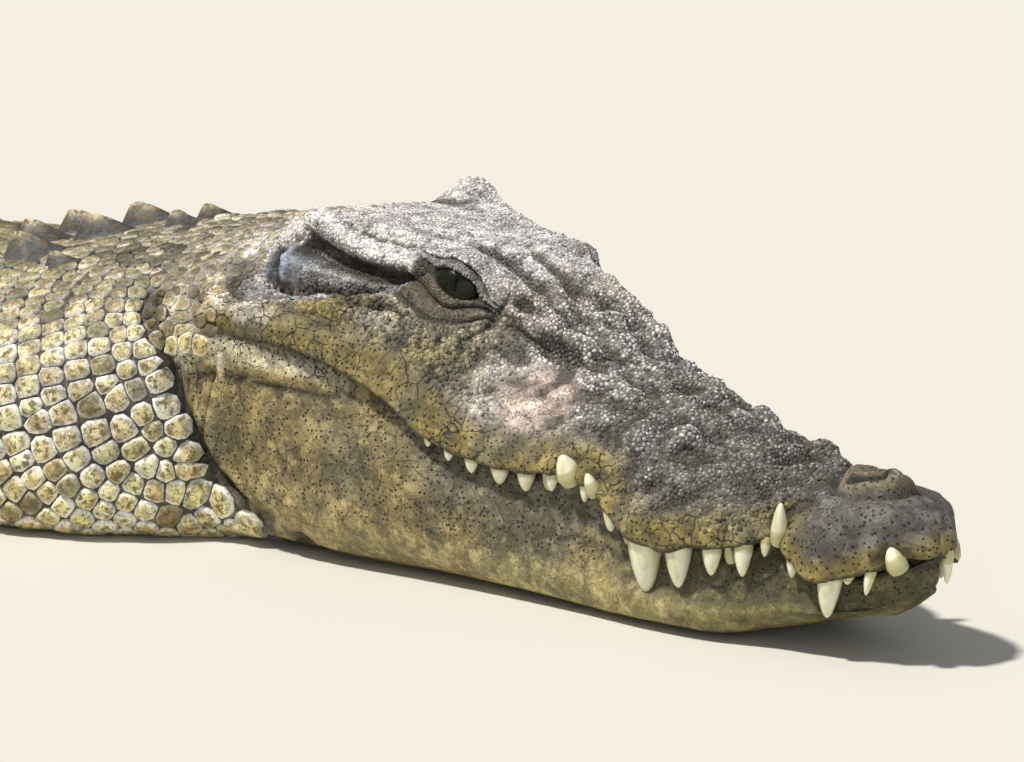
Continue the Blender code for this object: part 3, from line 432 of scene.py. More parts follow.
# ---------------------------------------------------------------- folds and ridges of the skin
# name: (line of (ahead, outwards, up), shape, half width, height, fade at start, fade at end)
FOLDS = {
    "table_edge": (
        ((-0.016, 0.076, 0.243), (-0.012, 0.077, 0.240), (0.010, 0.078, 0.232), (0.030, 0.079, 0.225),
         (0.058, 0.078, 0.220), (0.087, 0.074, 0.218), (0.114, 0.068, 0.221), (0.124, 0.064, 0.225)),
        "roll", 0.0100, 0.0082, 0.1, 0.25),
    "under_table": (
        ((-0.012, 0.089, 0.223), (0.008, 0.089, 0.219), (0.030, 0.088, 0.214), (0.055, 0.086, 0.211),
         (0.080, 0.082, 0.209), (0.098, 0.076, 0.211)),
        "groove", (0.0098, 0.0030), -0.0190, 0.15, 0.75),
    "ear_lid": (
        ((-0.030, 0.098, 0.205), (-0.018, 0.097, 0.208), (0.004, 0.099, 0.206), (0.030, 0.098, 0.204),
         (0.060, 0.094, 0.204), (0.092, 0.084, 0.208)),
        "roll", (0.0170, 0.0070), 0.0105, 0.04, 0.6),
    "ear_slit": (
        ((0.022, 0.103, 0.192), (0.045, 0.101, 0.192), (0.062, 0.097, 0.194), (0.078, 0.092, 0.197)),
        "groove", 0.0036, -0.0110, 0.3, 0.3),
    "ear_slit_top": (
        ((0.072, 0.092, 0.2065), (0.088, 0.087, 0.2085), (0.104, 0.078, 0.2105)),
        "groove", 0.0034, -0.0100, 0.3, 0.3),
    "under_lobe": (
        ((-0.036, 0.106, 0.200), (-0.026, 0.108, 0.195), (-0.010, 0.110, 0.193), (0.012, 0.107, 0.192),
         (0.030, 0.104, 0.192)),
        "groove", 0.0050, -0.0100, 0.2, 0.4),
    "behind_lobe": (
        ((-0.030, 0.088, 0.220), (-0.037, 0.095, 0.211), (-0.036, 0.103, 0.202)),
        "groove", 0.0058, -0.0095, 0.3, 0.2),
    "temple_rope": (
        ((0.020, 0.112, 0.187), (0.045, 0.107, 0.188), (0.070, 0.100, 0.190), (0.095, 0.090, 0.194),
         (0.110, 0.085, 0.197)),
        "roll", 0.0065, 0.0060, 0.3, 0.2),
    "cheek_ridge": (
        ((-0.020, 0.143, 0.178), (0.018, 0.128, 0.181), (0.045, 0.117, 0.183), (0.091, 0.104, 0.181),
         (0.130, 0.094, 0.176), (0.165, 0.085, 0.172), (0.190, 0.074, 0.176)),
        "ridge", 0.0090, 0.0072, 0.2, 0.3),
    "cheek_trough": (
        ((0.050, 0.110, 0.1875), (0.085, 0.100, 0.187), (0.120, 0.092, 0.184)),
        "groove", 0.0044, -0.0060, 0.3, 0.3),
    "upper_lip_roll": (
        ((-0.066, 0.146, 0.190), (-0.050, 0.149, 0.181), (-0.025, 0.150, 0.174), (0.010, 0.147, 0.172),
         (0.050, 0.140, 0.170), (0.085, 0.130, 0.158)),
        "roll", 0.0125, 0.0080, 0.15, 0.5),
    "jaw_band": (
        ((-0.092, 0.168, 0.150), (-0.050, 0.160, 0.148), (-0.010, 0.154, 0.148), (0.030, 0.149, 0.147),
         (0.065, 0.140, 0.143), (0.095, 0.128, 0.134)),
        "roll", 0.0150, 0.0042, 0.1, 0.5),
    "jaw_band_edge": (
        ((-0.092, 0.175, 0.130), (-0.060, 0.166, 0.131), (-0.033, 0.158, 0.132), (0.011, 0.152, 0.131),
         (0.054, 0.140, 0.127), (0.098, 0.126, 0.127)),
        "groove", 0.0026, -0.0026, 0.05, 0.2),
    "jaw_crease": (
        ((-0.134, 0.160, 0.190), (-0.122, 0.171, 0.172), (-0.102, 0.177, 0.153), (-0.088, 0.176, 0.133),
         (-0.076, 0.169, 0.101), (-0.050, 0.154, 0.054), (-0.008, 0.141, 0.026), (0.026, 0.120, 0.009),
         (0.050, 0.080, 0.000), (0.060, 0.000, -0.004)),
        "groove", 0.0070, -0.0098, 0.08, 0.3),
    "before_eye": (
        ((0.184, 0.059, 0.197), (0.201, 0.056, 0.190), (0.216, 0.052, 0.185), (0.234, 0.048, 0.179),
         (0.248, 0.044, 0.174), (0.264, 0.038, 0.168), (0.279, 0.032, 0.161)),
        "ridge", 0.0058, 0.0090, 0.1, 0.3),
    "under_before_eye": (
        ((0.192, 0.064, 0.186), (0.212, 0.060, 0.177), (0.234, 0.055, 0.169), (0.255, 0.049, 0.163),
         (0.275, 0.043, 0.157)),
        "groove", 0.0028, -0.0052, 0.25, 0.3),
    "above_before_eye": (
        ((0.178, 0.052, 0.208), (0.194, 0.046, 0.201), (0.212, 0.044, 0.191), (0.230, 0.044, 0.184)),
        "ridge", 0.0062, 0.0088, 0.2, 0.3),
    "between_ridges": (
        ((0.186, 0.055, 0.199), (0.202, 0.051, 0.191), (0.220, 0.048, 0.183)),
        "groove", 0.0034, -0.0060, 0.3, 0.3),
    "forehead_v": (
        ((0.110, 0.034, 0.233), (0.135, 0.022, 0.227), (0.160, 0.014, 0.218), (0.188, 0.012, 0.206),
         (0.204, 0.022, 0.197), (0.220, 0.032, 0.187)),
        "ridge", 0.0058, 0.0080, 0.3, 0.3),
    "forehead_v_inside": (
        ((0.125, 0.034, 0.231), (0.150, 0.029, 0.223), (0.176, 0.027, 0.211), (0.196, 0.034, 0.200)),
        "groove", 0.0050, -0.0085, 0.3, 0.3),
    "snout_ridge": (
        ((0.260, 0.024, 0.172), (0.290, 0.026, 0.158), (0.325, 0.024, 0.145), (0.360, 0.020, 0.133)),
        "ridge", 0.0085, 0.0050, 0.3, 0.3),
}
BUMPS = (  # (ahead, outwards, up), radius, height
    ((0.253, 0.067, 0.145), 0.013, 0.0051), ((0.290, 0.063, 0.132), 0.014, 0.0058),
    ((0.325, 0.058, 0.123), 0.015, 0.0058), ((0.306, 0.084, 0.103), 0.015, 0.0051),
    ((0.345, 0.040, 0.128), 0.015, 0.0058), ((0.385, 0.052, 0.112), 0.017, 0.0068),
    ((0.300, 0.044, 0.146), 0.012, 0.0044), ((0.420, 0.036, 0.108), 0.012, 0.0051),
    ((0.270, 0.056, 0.155), 0.011, 0.0041), ((0.350, 0.070, 0.108), 0.014, 0.0051),
)
LEFT_BUMPS = (((-0.020, 0.072, 0.243), 0.030, 0.0120),)  # the left corner of the skull roof stands up
FOLD_SHAPES = {
    "ridge": lambda t: np.exp(-t * t),
    "groove": lambda t: np.exp(-t * t),
    "roll": lambda t: np.sqrt(np.clip(1 - t * t, 0, 1)),
}


# ---------------------------------------------------------------- the eye's opening and the folds of its lids
# in the plane that faces outwards: (towards the snout, up)
def unit(*parts):
    return np.array(parts) / np.linalg.norm(parts)


EYE_OUT = unit(0.130, 0.950, 0.280)
EYE_ALONG = unit(0.932, -0.020, -0.361)
EYE_UP = -np.cross(EYE_OUT, EYE_ALONG)
UPPER_EDGE = Profile(
    (-0.0155, 0.0055), (-0.0060, 0.0100), (0.0015, 0.0127), (0.0120, 0.0135), (0.0185, 0.0122),
    (0.0245, 0.0092), (0.0300, 0.0068), (0.0395, 0.0056),
)
LOWER_EDGE = Profile(
    (-0.0155, 0.0053), (-0.0115, 0.0030), (-0.0035, -0.0004), (0.0050, -0.0026), (0.0140, -0.0034),
    (0.0200, -0.0012), (0.0240, 0.0016), (0.0300, 0.0042), (0.0395, 0.0050),
)
UPPER_FOLD = Profile(
    (-0.0340, 0.0090), (-0.0240, 0.0105), (-0.0125, 0.0143), (-0.0055, 0.0180), (0.0025, 0.0194),
    (0.0105, 0.0190), (0.0175, 0.0168), (0.0275, 0.0127), (0.0395, 0.0080),
)
LOWER_FOLD_1 = Profile(
    (-0.0340, -0.0120), (-0.0200, -0.0125), (-0.0050, -0.0118), (0.0065, -0.0130), (0.0155, -0.0104),
    (0.0225, -0.0056), (0.0295, -0.0010), (0.0395, 0.0030),
)
LOWER_FOLD_2 = Profile(
    (-0.0340, -0.0230), (-0.0235, -0.0255), (-0.0075, -0.0262), (0.0055, -0.0250), (0.0190, -0.0205),
    (0.0315, -0.0135), (0.0390, -0.0065), (0.0445, -0.0020),
)


# ---------------------------------------------------------------- the skin, straightened
SNOUT_END = HEAD_LENGTH - SNOUT_ARC
LAST_ROW = 0.965  # of the quarter turn that rounds the snout
UPPER_POINTS, FOLD_POINTS, LOWER_POINTS = 61, 7, 29
LOWER_START = 0.54
HALF_POINTS = UPPER_POINTS + FOLD_POINTS + LOWER_POINTS
HEAD_TURNS = np.concatenate([
    np.linspace(0, 0.5, UPPER_POINTS),
    np.full(FOLD_POINTS, 0.5),
    np.linspace(LOWER_START, 0.78, 22, endpoint=False),
    np.linspace(0.78, 1, LOWER_POINTS - 22),
])
EVEN_TURNS = np.linspace(0, 1, HALF_POINTS)
TAIL_TIP = (HEAD_LENGTH - TOTAL_LENGTH - 0.004, 0, 0.022)
LIP_STEPS = (  # shares of the mouth's depth and of the lower lip's inset, and the drop
    (0.00, 0.0, 0.0014), (0.25, 0.0, 0.0018), (0.60, 0.0, 0.0016), (1.00, 0.0, 0.0008),
    (1.00, 0.0, 0.0028), (0.0, 1.12, 0.0034), (0.0, 1.00, 0.0044),
)


def half_ring(ahead):
    """(ahead, outwards, up) of the skin's half ring from the crown to the chin, mouth included."""
    spread = float(smooth_step(-0.02, -0.09, ahead))
    turns = (1 - spread) * HEAD_TURNS + spread * EVEN_TURNS
    low_ahead = ahead
    if ahead > SNOUT_END:
        low_ahead = SNOUT_END + (ahead - SNOUT_END) * (SNOUT_ARC - UNDERBITE) / SNOUT_ARC
    upper = turns <= 0.5
    points = np.empty((HALF_POINTS, 3))
    points[:, 0] = np.where(upper, ahead, low_ahead)
    for part, lower, at in ((upper, False, ahead), (~upper, True, low_ahead)):
        outwards, up = half_section(np.array([HEAD_LENGTH - at]), turns[part], lower)
        points[part, 1], points[part, 2] = outwards[0], up[0]
    closed = float(smooth_step(0.0, 0.08, ahead))
    open_mouth = float(smooth_step(-0.085, -0.045, ahead))
    near_tip = min(1.0, points[UPPER_POINTS - 1, 1] / 0.03)
    inset = LIP_INSET * closed
    depth = inset + 0.0050 * (1 - closed) + 0.0035
    for k, (share, inset_share, drop) in enumerate(LIP_STEPS):
        inwards = 0.0012 * (k == 0) + share * depth + inset_share * inset
        points[UPPER_POINTS + k, 1] -= inwards * open_mouth * near_tip
        points[UPPER_POINTS + k, 2] -= drop * open_mouth
    return points


def skin_rows():
    """Places ahead of the skull's back edge, from the tip of the snout to the tip of the tail."""
    arc = SNOUT_END + SNOUT_ARC * np.sin(np.linspace(LAST_ROW * math.pi / 2, 0, 34, endpoint=False))
    head = np.linspace(SNOUT_END, -0.10, 208, endpoint=False)
    neck = np.linspace(-0.10, HEAD_LENGTH - SHOULDER_STATION, 42)
    body = np.linspace(HEAD_LENGTH - SHOULDER_STATION, HEAD_LENGTH - TOTAL_LENGTH, 128)[1:]
    return np.concatenate([arc, head, neck]), body


def whole_ring(half):
    """Both sides, from the chin up the left side, over the crown and down the right side."""
    left = half[::-1]
    right = half[1:-1] * (1, -1, 1)
    return np.concatenate([left, right])


def straight_skin():
    """The skin's mesh along the straightened animal, with its bake map."""
    fine_rows, coarse_rows = skin_rows()
    fine = np.array([whole_ring(half_ring(a)) for a in fine_rows])
    coarse = []
    for a in coarse_rows:
        outwards, up = half_section(np.array([HEAD_LENGTH - a]), EVEN_TURNS[::2])
        coarse.append(whole_ring(np.stack([np.full(len(EVEN_TURNS[::2]), a), outwards[0], up[0]], 1)))
    coarse = np.array(coarse)
    count, few = fine.shape[1], coarse.shape[1]
    points = np.concatenate([fine.reshape(-1, 3), coarse.reshape(-1, 3), [TAIL_TIP]])
    start = len(fine) * count
    rows = len(fine) + len(coarse)
    faces, spots = [], []

    def spot(row, share):
        return 0.012 + 0.976 * row / rows, 0.010 + 0.80 * share

    def band(first, row, around):
        """The faces between a ring that starts at the first point and the next ring."""
        for i in range(around):
            j = (i + 1) % around
            faces.append((first + i, first + j, first + around + j, first + around + i))
            a, b = i / around, (i + 1) / around
            spots.append((spot(row, a), spot(row, b), spot(row + 1, b), spot(row + 1, a)))

    for r in range(len(fine) - 1):
        band(r * count, r, count)
    last = (len(fine) - 1) * count
    r = len(fine) - 1
    for i in range(few):
        j = (i + 1) % few
        faces.append((last + 2 * i, last + 2 * i + 1, last + (2 * i + 2) % count, start + j, start + i))
        a, b, c = i / few, (i + 0.5) / few, (i + 1) / few
        spots.append((spot(r, a), spot(r, b), spot(r, c), spot(r + 1, c), spot(r + 1, a)))
    for k in range(len(coarse) - 1):
        band(start + k * few, len(fine) + k, few)
    first, tip = start + (len(coarse) - 1) * few, len(points) - 1
    for i in range(few):
        faces.append((first + i, first + (i + 1) % few, tip))
        spots.append((spot(rows - 1, i / few), spot(rows - 1, (i + 1) / few), spot(rows, (i + 0.5) / few)))
    for i in range(HALF_POINTS - 1):  # closes the tip of the snout, left to right
        corners = list(dict.fromkeys((i, i + 1, count - i - 1, (count - i) % count)))
        faces.append(corners)
        spots.append([spot(0, min(c, count - c) / count) for c in corners])
    made = bpy.data.meshes.new("skin")
    made.from_pydata(points.tolist(), [], faces)
    layer = made.uv_layers.new(name="OFBake")
    layer.data.foreach_set("uv", np.array([c for face in spots for c in face], float).ravel())
    return made


def refine(mesh, wanted):
    """Divides the faces whose middle is in the wanted region once."""
    work = bmesh.new()
    work.from_mesh(mesh)
    bmesh.ops.recalc_face_normals(work, faces=work.faces)
    centres = np.array([face.calc_center_median() for face in work.faces])
    chosen = wanted(centres)
    edges = {edge for face, want in zip(work.faces, chosen) if want for edge in face.edges}
    if edges:
        bmesh.ops.subdivide_edges(work, edges=list(edges), cuts=1, use_grid_fill=True)
    work.to_mesh(mesh)
    work.free()


def eye_frame(points):
    """(towards the snout, up, out) from the middle of the eye, the same on both sides."""
    from_eye = points * (1, 0, 1) + np.abs(points) * (0, 1, 0) - EYE_PLACE
    return from_eye @ EYE_ALONG, from_eye @ EYE_UP, from_eye @ EYE_OUT


def near_eye(points):
    along, up, out = eye_frame(points)
    return (np.abs(along - 0.007) < 0.050) & (np.abs(up + 0.003) < 0.036) & (out > -0.012)


def on_lids(points):
    along, up, out = eye_frame(points)
    return (np.abs(along - 0.006) < 0.040) & (np.abs(up + 0.003) < 0.0255) & (out > -0.010)


def on_temple(points):
    ahead, out, up = mirrored(points).T
    return (ahead > -0.046) & (ahead < 0.094) & (out > 0.068) & (up > 0.182) & (up < 0.238)


def read(rows, name, width=1, kind=float):
    """One value, or width values, of each row of mesh data."""
    flat = np.empty(len(rows) * width, kind)
    rows.foreach_get(name, flat)
    return flat.reshape(-1, width) if width > 1 else flat


def read_vectors(mesh, of_normals=False):
    return read(mesh.vertex_normals, "vector", 3) if of_normals else read(mesh.vertices, "co", 3)


def write_points(mesh, points):
    mesh.vertices.foreach_set("co", np.asarray(points, np.float32).ravel())
    mesh.update()


def cover_eyeballs(points):
    """Pushes the skin out of the eyeballs, so that it covers them all round."""
    same = mirrored(points)
    from_eye = same - EYE_PLACE
    far = np.linalg.norm(from_eye, axis=1)
    near = (far < 0.045) & (from_eye @ EYE_OUT > -0.020)
    reach, cover = far[near], EYE_RADIUS + 0.0012
    wanted = 0.5 * (reach + cover + np.sqrt((reach - cover) ** 2 + 0.003**2))
    moved = points.copy()
    push = from_eye[near] * (wanted / np.maximum(reach, 1e-4) - 1)[:, None]
    push[:, 1] *= np.where(points[near, 1] < 0, -1, 1)
    moved[near] += push
    return moved


def shape_lids(points):
    """Wraps two lids round the front of each eyeball and opens the slit between them."""
    points = cover_eyeballs(points)
    along, up, out = eye_frame(points)
    near = near_eye(points)
    x, y, z = along[near], up[near], out[near]
    ball = np.sqrt(np.clip(EYE_RADIUS**2 - x * x - y * y, 0, None))
    inside_ball = smooth_step(EYE_RADIUS, 0.8 * EYE_RADIUS, np.hypot(x, y))
    ball = np.where(ball > 0, ball, -0.01) + 0.0006
    base = 0.5 * (ball + z + np.sqrt((ball - z) ** 2 + 0.004**2))
    top, bottom = UPPER_EDGE(x), LOWER_EDGE(x)
    fold, fold_1, fold_2 = UPPER_FOLD(x), LOWER_FOLD_1(x), LOWER_FOLD_2(x)
    middle = (top + bottom) / 2
    above = y >= middle
    q = np.where(above, (y - top) / (fold - top), (bottom - y) / (bottom - fold_1))
    beyond = (~above) & (y < fold_1)
    q = np.where(beyond, 1 + (fold_1 - y) / (fold_1 - fold_2), q)
    from_edge = np.where(above, y - top, bottom - y)  # negative inside the opening

    def rise(low, high):
        return smooth_step(low, high, q)

    def dent(at, width):
        return np.exp(-(((q - at) / width) ** 2))

    upper = 0.0019 * rise(-0.1, 0.3) * (1 - rise(0.75, 1.1))
    upper = upper - 0.0024 * dent(1.05, 0.15) + 0.0012 * dent(1.7, 0.4)
    lower = 0.0014 * rise(-0.1, 0.35) * (1 - rise(0.7, 1.0)) - 0.0026 * dent(1.0, 0.16)
    lower = lower + 0.0030 * dent(1.5, 0.32) - 0.0022 * dent(2.03, 0.14) + 0.0012 * dent(2.4, 0.25)
    height = np.where(above, upper, lower)
    opening = smooth_step(0.0006, -0.0016, from_edge)
    target = base + height
    sunk = np.where(inside_ball > 0.02, np.where(ball > 0, ball, base) - 0.0055, base - 0.0045)
    target = target * (1 - opening) + sunk * opening
    weight = smooth_step(-0.040, -0.031, x) * smooth_step(0.0525, 0.044, x)
    weight = weight * np.where(above, 1 - rise(1.6, 2.6), 1 - rise(2.3, 2.9))
    moved = points.copy()
    push = (weight * (target - z))[:, None] * EYE_OUT
    side = np.where(points[near, 1] < 0, -1, 1)
    push[:, 1] *= side
    moved[near] += push
    return moved


def mirrored(points):
    return points * (1, 0, 1) + np.abs(points) * (0, 1, 0)


TOWARDS_SIDE = np.array((0.729, 0.656, 0.196))  # folds are moved this way until they lie on the skin


def onto_skin(line):
    """The line with more points, each moved onto the head's plain surface."""
    line = np.array(line)
    steps = np.linspace(0, len(line) - 1, 3 * len(line) - 2)
    line = np.stack([np.interp(steps, np.arange(len(line)), line[:, k]) for k in range(3)], 1)
    shifts = np.linspace(-0.026, 0.026, 53)
    spots = (line[:, None] + shifts[None, :, None] * TOWARDS_SIDE).reshape(-1, 3)
    high, low = np.linspace(0, 0.5, 110), np.linspace(0.5, 1, 90)
    nearest = np.full(len(spots), 9.0)
    for turns, lower in ((high, False), (low, True)):
        outwards, up = half_section(HEAD_LENGTH - spots[:, 0], turns, lower)
        nearest = np.minimum(nearest, np.hypot(outwards - spots[:, 1:2], up - spots[:, 2:3]).min(1))
    nearest = nearest.reshape(len(line), -1) + 0.05 * np.abs(shifts)
    best = shifts[nearest.argmin(1)]
    best = np.convolve(np.pad(best, 1, mode="edge"), (0.25, 0.5, 0.25), mode="valid")
    return line + best[:, None] * TOWARDS_SIDE


FOLDS = {name: (onto_skin(fold[0]), *fold[1:]) for name, fold in FOLDS.items()}


def lip_place(ahead, over):
    """A place on the edge of the upper lip, or over it."""
    return ahead, LIP_WIDTH(ahead) * arc_fall(SNOUT_END, HEAD_LENGTH, ahead), LIP_HEIGHT(ahead) + over


def fold_heights(points):
    """How far the folds, ridges, bumps and teeth of the head push the skin along its normal."""
    same = mirrored(points)
    ahead, out, up = same.T
    height = np.zeros(len(points))
    for line, shape, width, size, start, end in FOLDS.values():
        far, share = line_distance(same, line)
        width = np.interp(share, (0, 1), width) if isinstance(width, tuple) else width
        height += size * FOLD_SHAPES[shape](far / width) * fade_ends(share, start, end)
    for centre, radius, size in BUMPS:
        far = np.linalg.norm(same - centre, axis=1) / radius
        height += size * np.clip(1 - far * far, 0, 1) ** 2
    for centre, radius, size in LEFT_BUMPS:
        far = np.linalg.norm(points - centre, axis=1) / radius
        height += size * np.clip(1 - far * far, 0, 1) ** 2
    middle = 0.0030 * np.exp(-((out / 0.045) ** 2)) * smooth_step(-0.03, 0.0, ahead)
    middle = middle * smooth_step(0.12, 0.06, ahead)
    height -= middle * (up > 0.2)  # the skull roof is a little hollow
    for at, length, width, _ in LOWER_TEETH:
        if length > SHORT_TOOTH:  # a notch in the upper lip for a tooth that stands outside it
            lip = lip_place(at, 0.20 * length)
            far = np.hypot((ahead - lip[0]) / (0.60 * width), (up - lip[2]) / (0.90 * length))
            close = (np.abs(out - lip[1]) < 0.02) & (up > LIP_HEIGHT(at) - 0.003)
            height -= 0.26 * width * smooth_step(1.35, 0.45, far) * close
    for at, _, width, _ in UPPER_TEETH:  # the gum swells over a tooth's root
        far = np.linalg.norm((same - lip_place(at, 0.011)) / (1, 1, 1.35), axis=1) / (0.006 + 0.55 * width)
        height += (0.0006 + 0.15 * width) * np.clip(1 - far * far, 0, 1) ** 2
    return height


SCULPTED_FROM = -0.46  # the skin is plain behind this place
LOWEST_SKIN = 0.0005
WRINKLE_STRETCH, WRINKLE_SIZE = (1, 0.25, 0.16), 0.0075  # the upright wrinkles of the cheek
NOSTRIL_DISC = (0.489, 0.0265, 0.0235)  # how far ahead its middle is, half length, half width
NOSTRIL_KNOB = (0.504, 0.0085, 0.0085)
NOSTRIL = ((0.480, 0.0175, 0), (0.487, 0.0160, 0), (0.494, 0.0120, 0), (0.500, 0.0070, 0), (0.503, 0.0035, 0))


def oval(ahead, out, middle, half_length, half_width):
    return np.hypot((ahead - middle) / half_length, out / half_width)


def zones(points):
    """Shares of the head's regions, from 0 to 1, for straightened points; also the height over the lip."""
    ahead, _, up = points.T
    lip = LIP_HEIGHT(ahead)
    over_lip = up - lip
    head = smooth_step(-0.13, -0.09, ahead)
    jaw = smooth_step(0.002, -0.006, over_lip) * smooth_step(-0.12, -0.085, ahead)
    snout = smooth_step(0.17, 0.235, ahead) * smooth_step(0.016, 0.034, over_lip)
    snout = snout * smooth_step(0.53, 0.50, ahead + 0.3 * np.clip(0.10 - up, 0, 1))
    top = smooth_step(0.190, 0.215, up) * smooth_step(0.22, 0.17, ahead) * head
    cheek = head * (1 - jaw) * (1 - snout) * (1 - top)
    return {"jaw": jaw, "snout": snout, "top": top, "cheek": cheek, "over_lip": over_lip}


def evened(mesh, values, passes):
    """The vertices' values, evened out with those of their neighbours."""
    ends = read(mesh.edges, "vertices", 2, np.int32)
    first, second = ends.T
    count = np.maximum(np.bincount(ends.ravel(), minlength=len(values)), 1)
    for _ in range(passes):
        total = np.stack([
            np.bincount(first, column[second], len(values)) + np.bincount(second, column[first], len(values))
            for column in values.T
        ], 1)
        values = 0.4 * values + 0.6 * total / count[:, None]
    return values


def hide_heights(points):
    """How far the hide's own relief stands out: bone, plates, wrinkles, lumps and the nape's folds."""
    ahead, _, up = mirrored(points).T
    where = zones(points)
    over_lip = where["over_lip"]
    off_lids = 1 - on_lids(points).astype(float)
    # rugged bone under the hide of the snout
    rough = where["snout"] * off_lids * smooth_step(0.50, 0.46, ahead)
    knobs = 1 - 2.4 * np.abs(clouds(points, 0.024, 1)) + 0.9 * clouds(points, 0.013, 2)
    height = rough * (0.0034 * knobs + 0.0012 * clouds(points, 0.008, 4) - 0.0010)
    near, second, _ = pebbles(points, 0.0085, 3)
    height += 0.0011 * rough * (smooth_step(0.0, 0.0022, second - near) - 0.6)
    # broad plates on the jaw and along the lips, parted by creases
    near, second, value = pebbles(points, (0.021, 0.021, 0.017), 5)
    plated = where["jaw"] + where["cheek"] * smooth_step(0.075, 0.045, over_lip)
    smooth = 0.8 * smooth_step(0.05, 0.02, up) * smooth_step(0.0, 0.1, ahead)
    plated = np.clip(plated, 0, 1) * off_lids * (1 - smooth)
    height += plated * (0.0011 * smooth_step(0.0, 0.0045, second - near) - 0.0008 + 0.0006 * value)
    # upright wrinkles of the cheek
    cheek = where["cheek"] * smooth_step(-0.03, 0.0, ahead) * smooth_step(0.215, 0.175, ahead)
    cheek *= smooth_step(0.020, 0.045, over_lip) * off_lids
    waves = clouds(points * WRINKLE_STRETCH, WRINKLE_SIZE, 7)
    height -= 0.0026 * cheek * np.exp(-((waves / 0.22) ** 2))
    height += 0.0007 * cheek * clouds(points, 0.006, 8)
    # fine lumps of the skull roof and brows
    lumps = 0.0005 * clouds(points, 0.011, 9) + 0.0004 * clouds(points, 0.0055, 10)
    height += where["top"] * off_lids * lumps
    # soft folds of the nape
    nape = smooth_step(-0.03, -0.08, ahead) * smooth_step(-0.34, -0.22, ahead) * smooth_step(0.13, 0.18, up)
    return height + 0.0030 * nape * clouds(points * (1, 0.35, 0.35), 0.020, 12)


def add_nostrils(height, points):
    """Adds the nostrils' slits on their raised disc, a knob in front of them and a groove between them."""
    same = mirrored(points)
    ahead, out, up = same.T
    on_top = smooth_step(0.098, 0.106, up)
    disc = oval(ahead, out, *NOSTRIL_DISC)
    dome = 0.0108 * np.clip(1 - (disc / 1.12) ** 3, 0, 1) ** 0.55
    height += on_top * (dome - 0.0042 * np.exp(-(((disc - 1.22) / 0.12) ** 2)))
    knob = oval(ahead, out, *NOSTRIL_KNOB)
    height += 0.0034 * on_top * np.clip(1 - knob * knob, 0, 1) ** 1.2
    slit, share = line_distance(same * (1, 1, 0), NOSTRIL)
    height -= 0.0095 * on_top * np.exp(-((slit / 0.0032) ** 2)) * fade_ends(share, 0.1, 0.2)
    groove = np.exp(-((out / 0.0022) ** 2)) * smooth_step(0.466, 0.474, ahead)
    groove = groove * smooth_step(0.496, 0.488, ahead)
    height -= 0.0016 * on_top * groove


def sculpt(mesh):
    """Folds, lids, nostrils, plates and pits of the head and neck; draws the rest in by the coat's depth."""
    points = read_vectors(mesh)
    front = points[:, 0] > SCULPTED_FROM
    spots = points[front]
    normals = evened(mesh, read_vectors(mesh, True), 14)[front]
    normals /= np.linalg.norm(normals, axis=1)[:, None]
    points[front] = spots + normals * fold_heights(spots)[:, None]
    write_points(mesh, shape_lids(points))
    points, normals = read_vectors(mesh), read_vectors(mesh, True)
    spots = points[front]
    height = hide_heights(spots)
    add_nostrils(height, spots)
    moved = points.copy()
    moved[front] = spots + normals[front] * height[:, None]
    depth = 0.0022 * smooth_step(-0.075, -0.14, points[:, 0])
    depth = depth + 0.0010 * smooth_step(-0.45, -0.6, points[:, 0])
    moved -= normals * depth[:, None]
    moved[:, 2] = np.maximum(moved[:, 2], LOWEST_SKIN)
    write_points(mesh, moved)


def relief_of(mesh):
    """How far each vertex stands out of its surroundings (below 0: in a hollow), in metres."""
    points, normals = read_vectors(mesh), read_vectors(mesh, True)
    relief = np.zeros(len(points))
    for passes, share in ((5, 1.0), (22, 0.8)):
        smooth = evened(mesh, points, passes)
        relief += share * ((points - smooth) * normals).sum(1)
        points = smooth
    return relief


# ---------------------------------------------------------------- objects and finishes
def tree_of(points):
    """A tree that finds the nearest of the points."""
    tree = KDTree(len(points))
    for number, point in enumerate(points):
        tree.insert(point, number)
    tree.balance()
    return tree


def face_outwards(mesh):
    """Turns every face of a closed mesh outwards."""
    work = bmesh.new()
    work.from_mesh(mesh)
    bmesh.ops.recalc_face_normals(work, faces=work.faces)
    work.to_mesh(mesh)
    work.free()


def add_object(name, mesh, material):
    made = bpy.data.objects.new(name, mesh)
    bpy.context.scene.collection.objects.link(made)
    mesh.materials.append(material)
    mesh.polygons.foreach_set("use_smooth", [True] * len(mesh.polygons))
    return made


def set_attribute(mesh, name, values):
    """A value or a colour at each vertex, for the finishes to read."""
    values = np.asarray(values, np.float32)
    if values.ndim == 1:
        layer = mesh.attributes.new(name, "FLOAT", "POINT")
        layer.data.foreach_set("value", values)
    else:
        opaque = np.concatenate([values, np.ones((len(values), 1))], 1)
        layer = mesh.attributes.new(name, "FLOAT_COLOR", "POINT")
        layer.data.foreach_set("color", opaque.astype(np.float32).ravel())


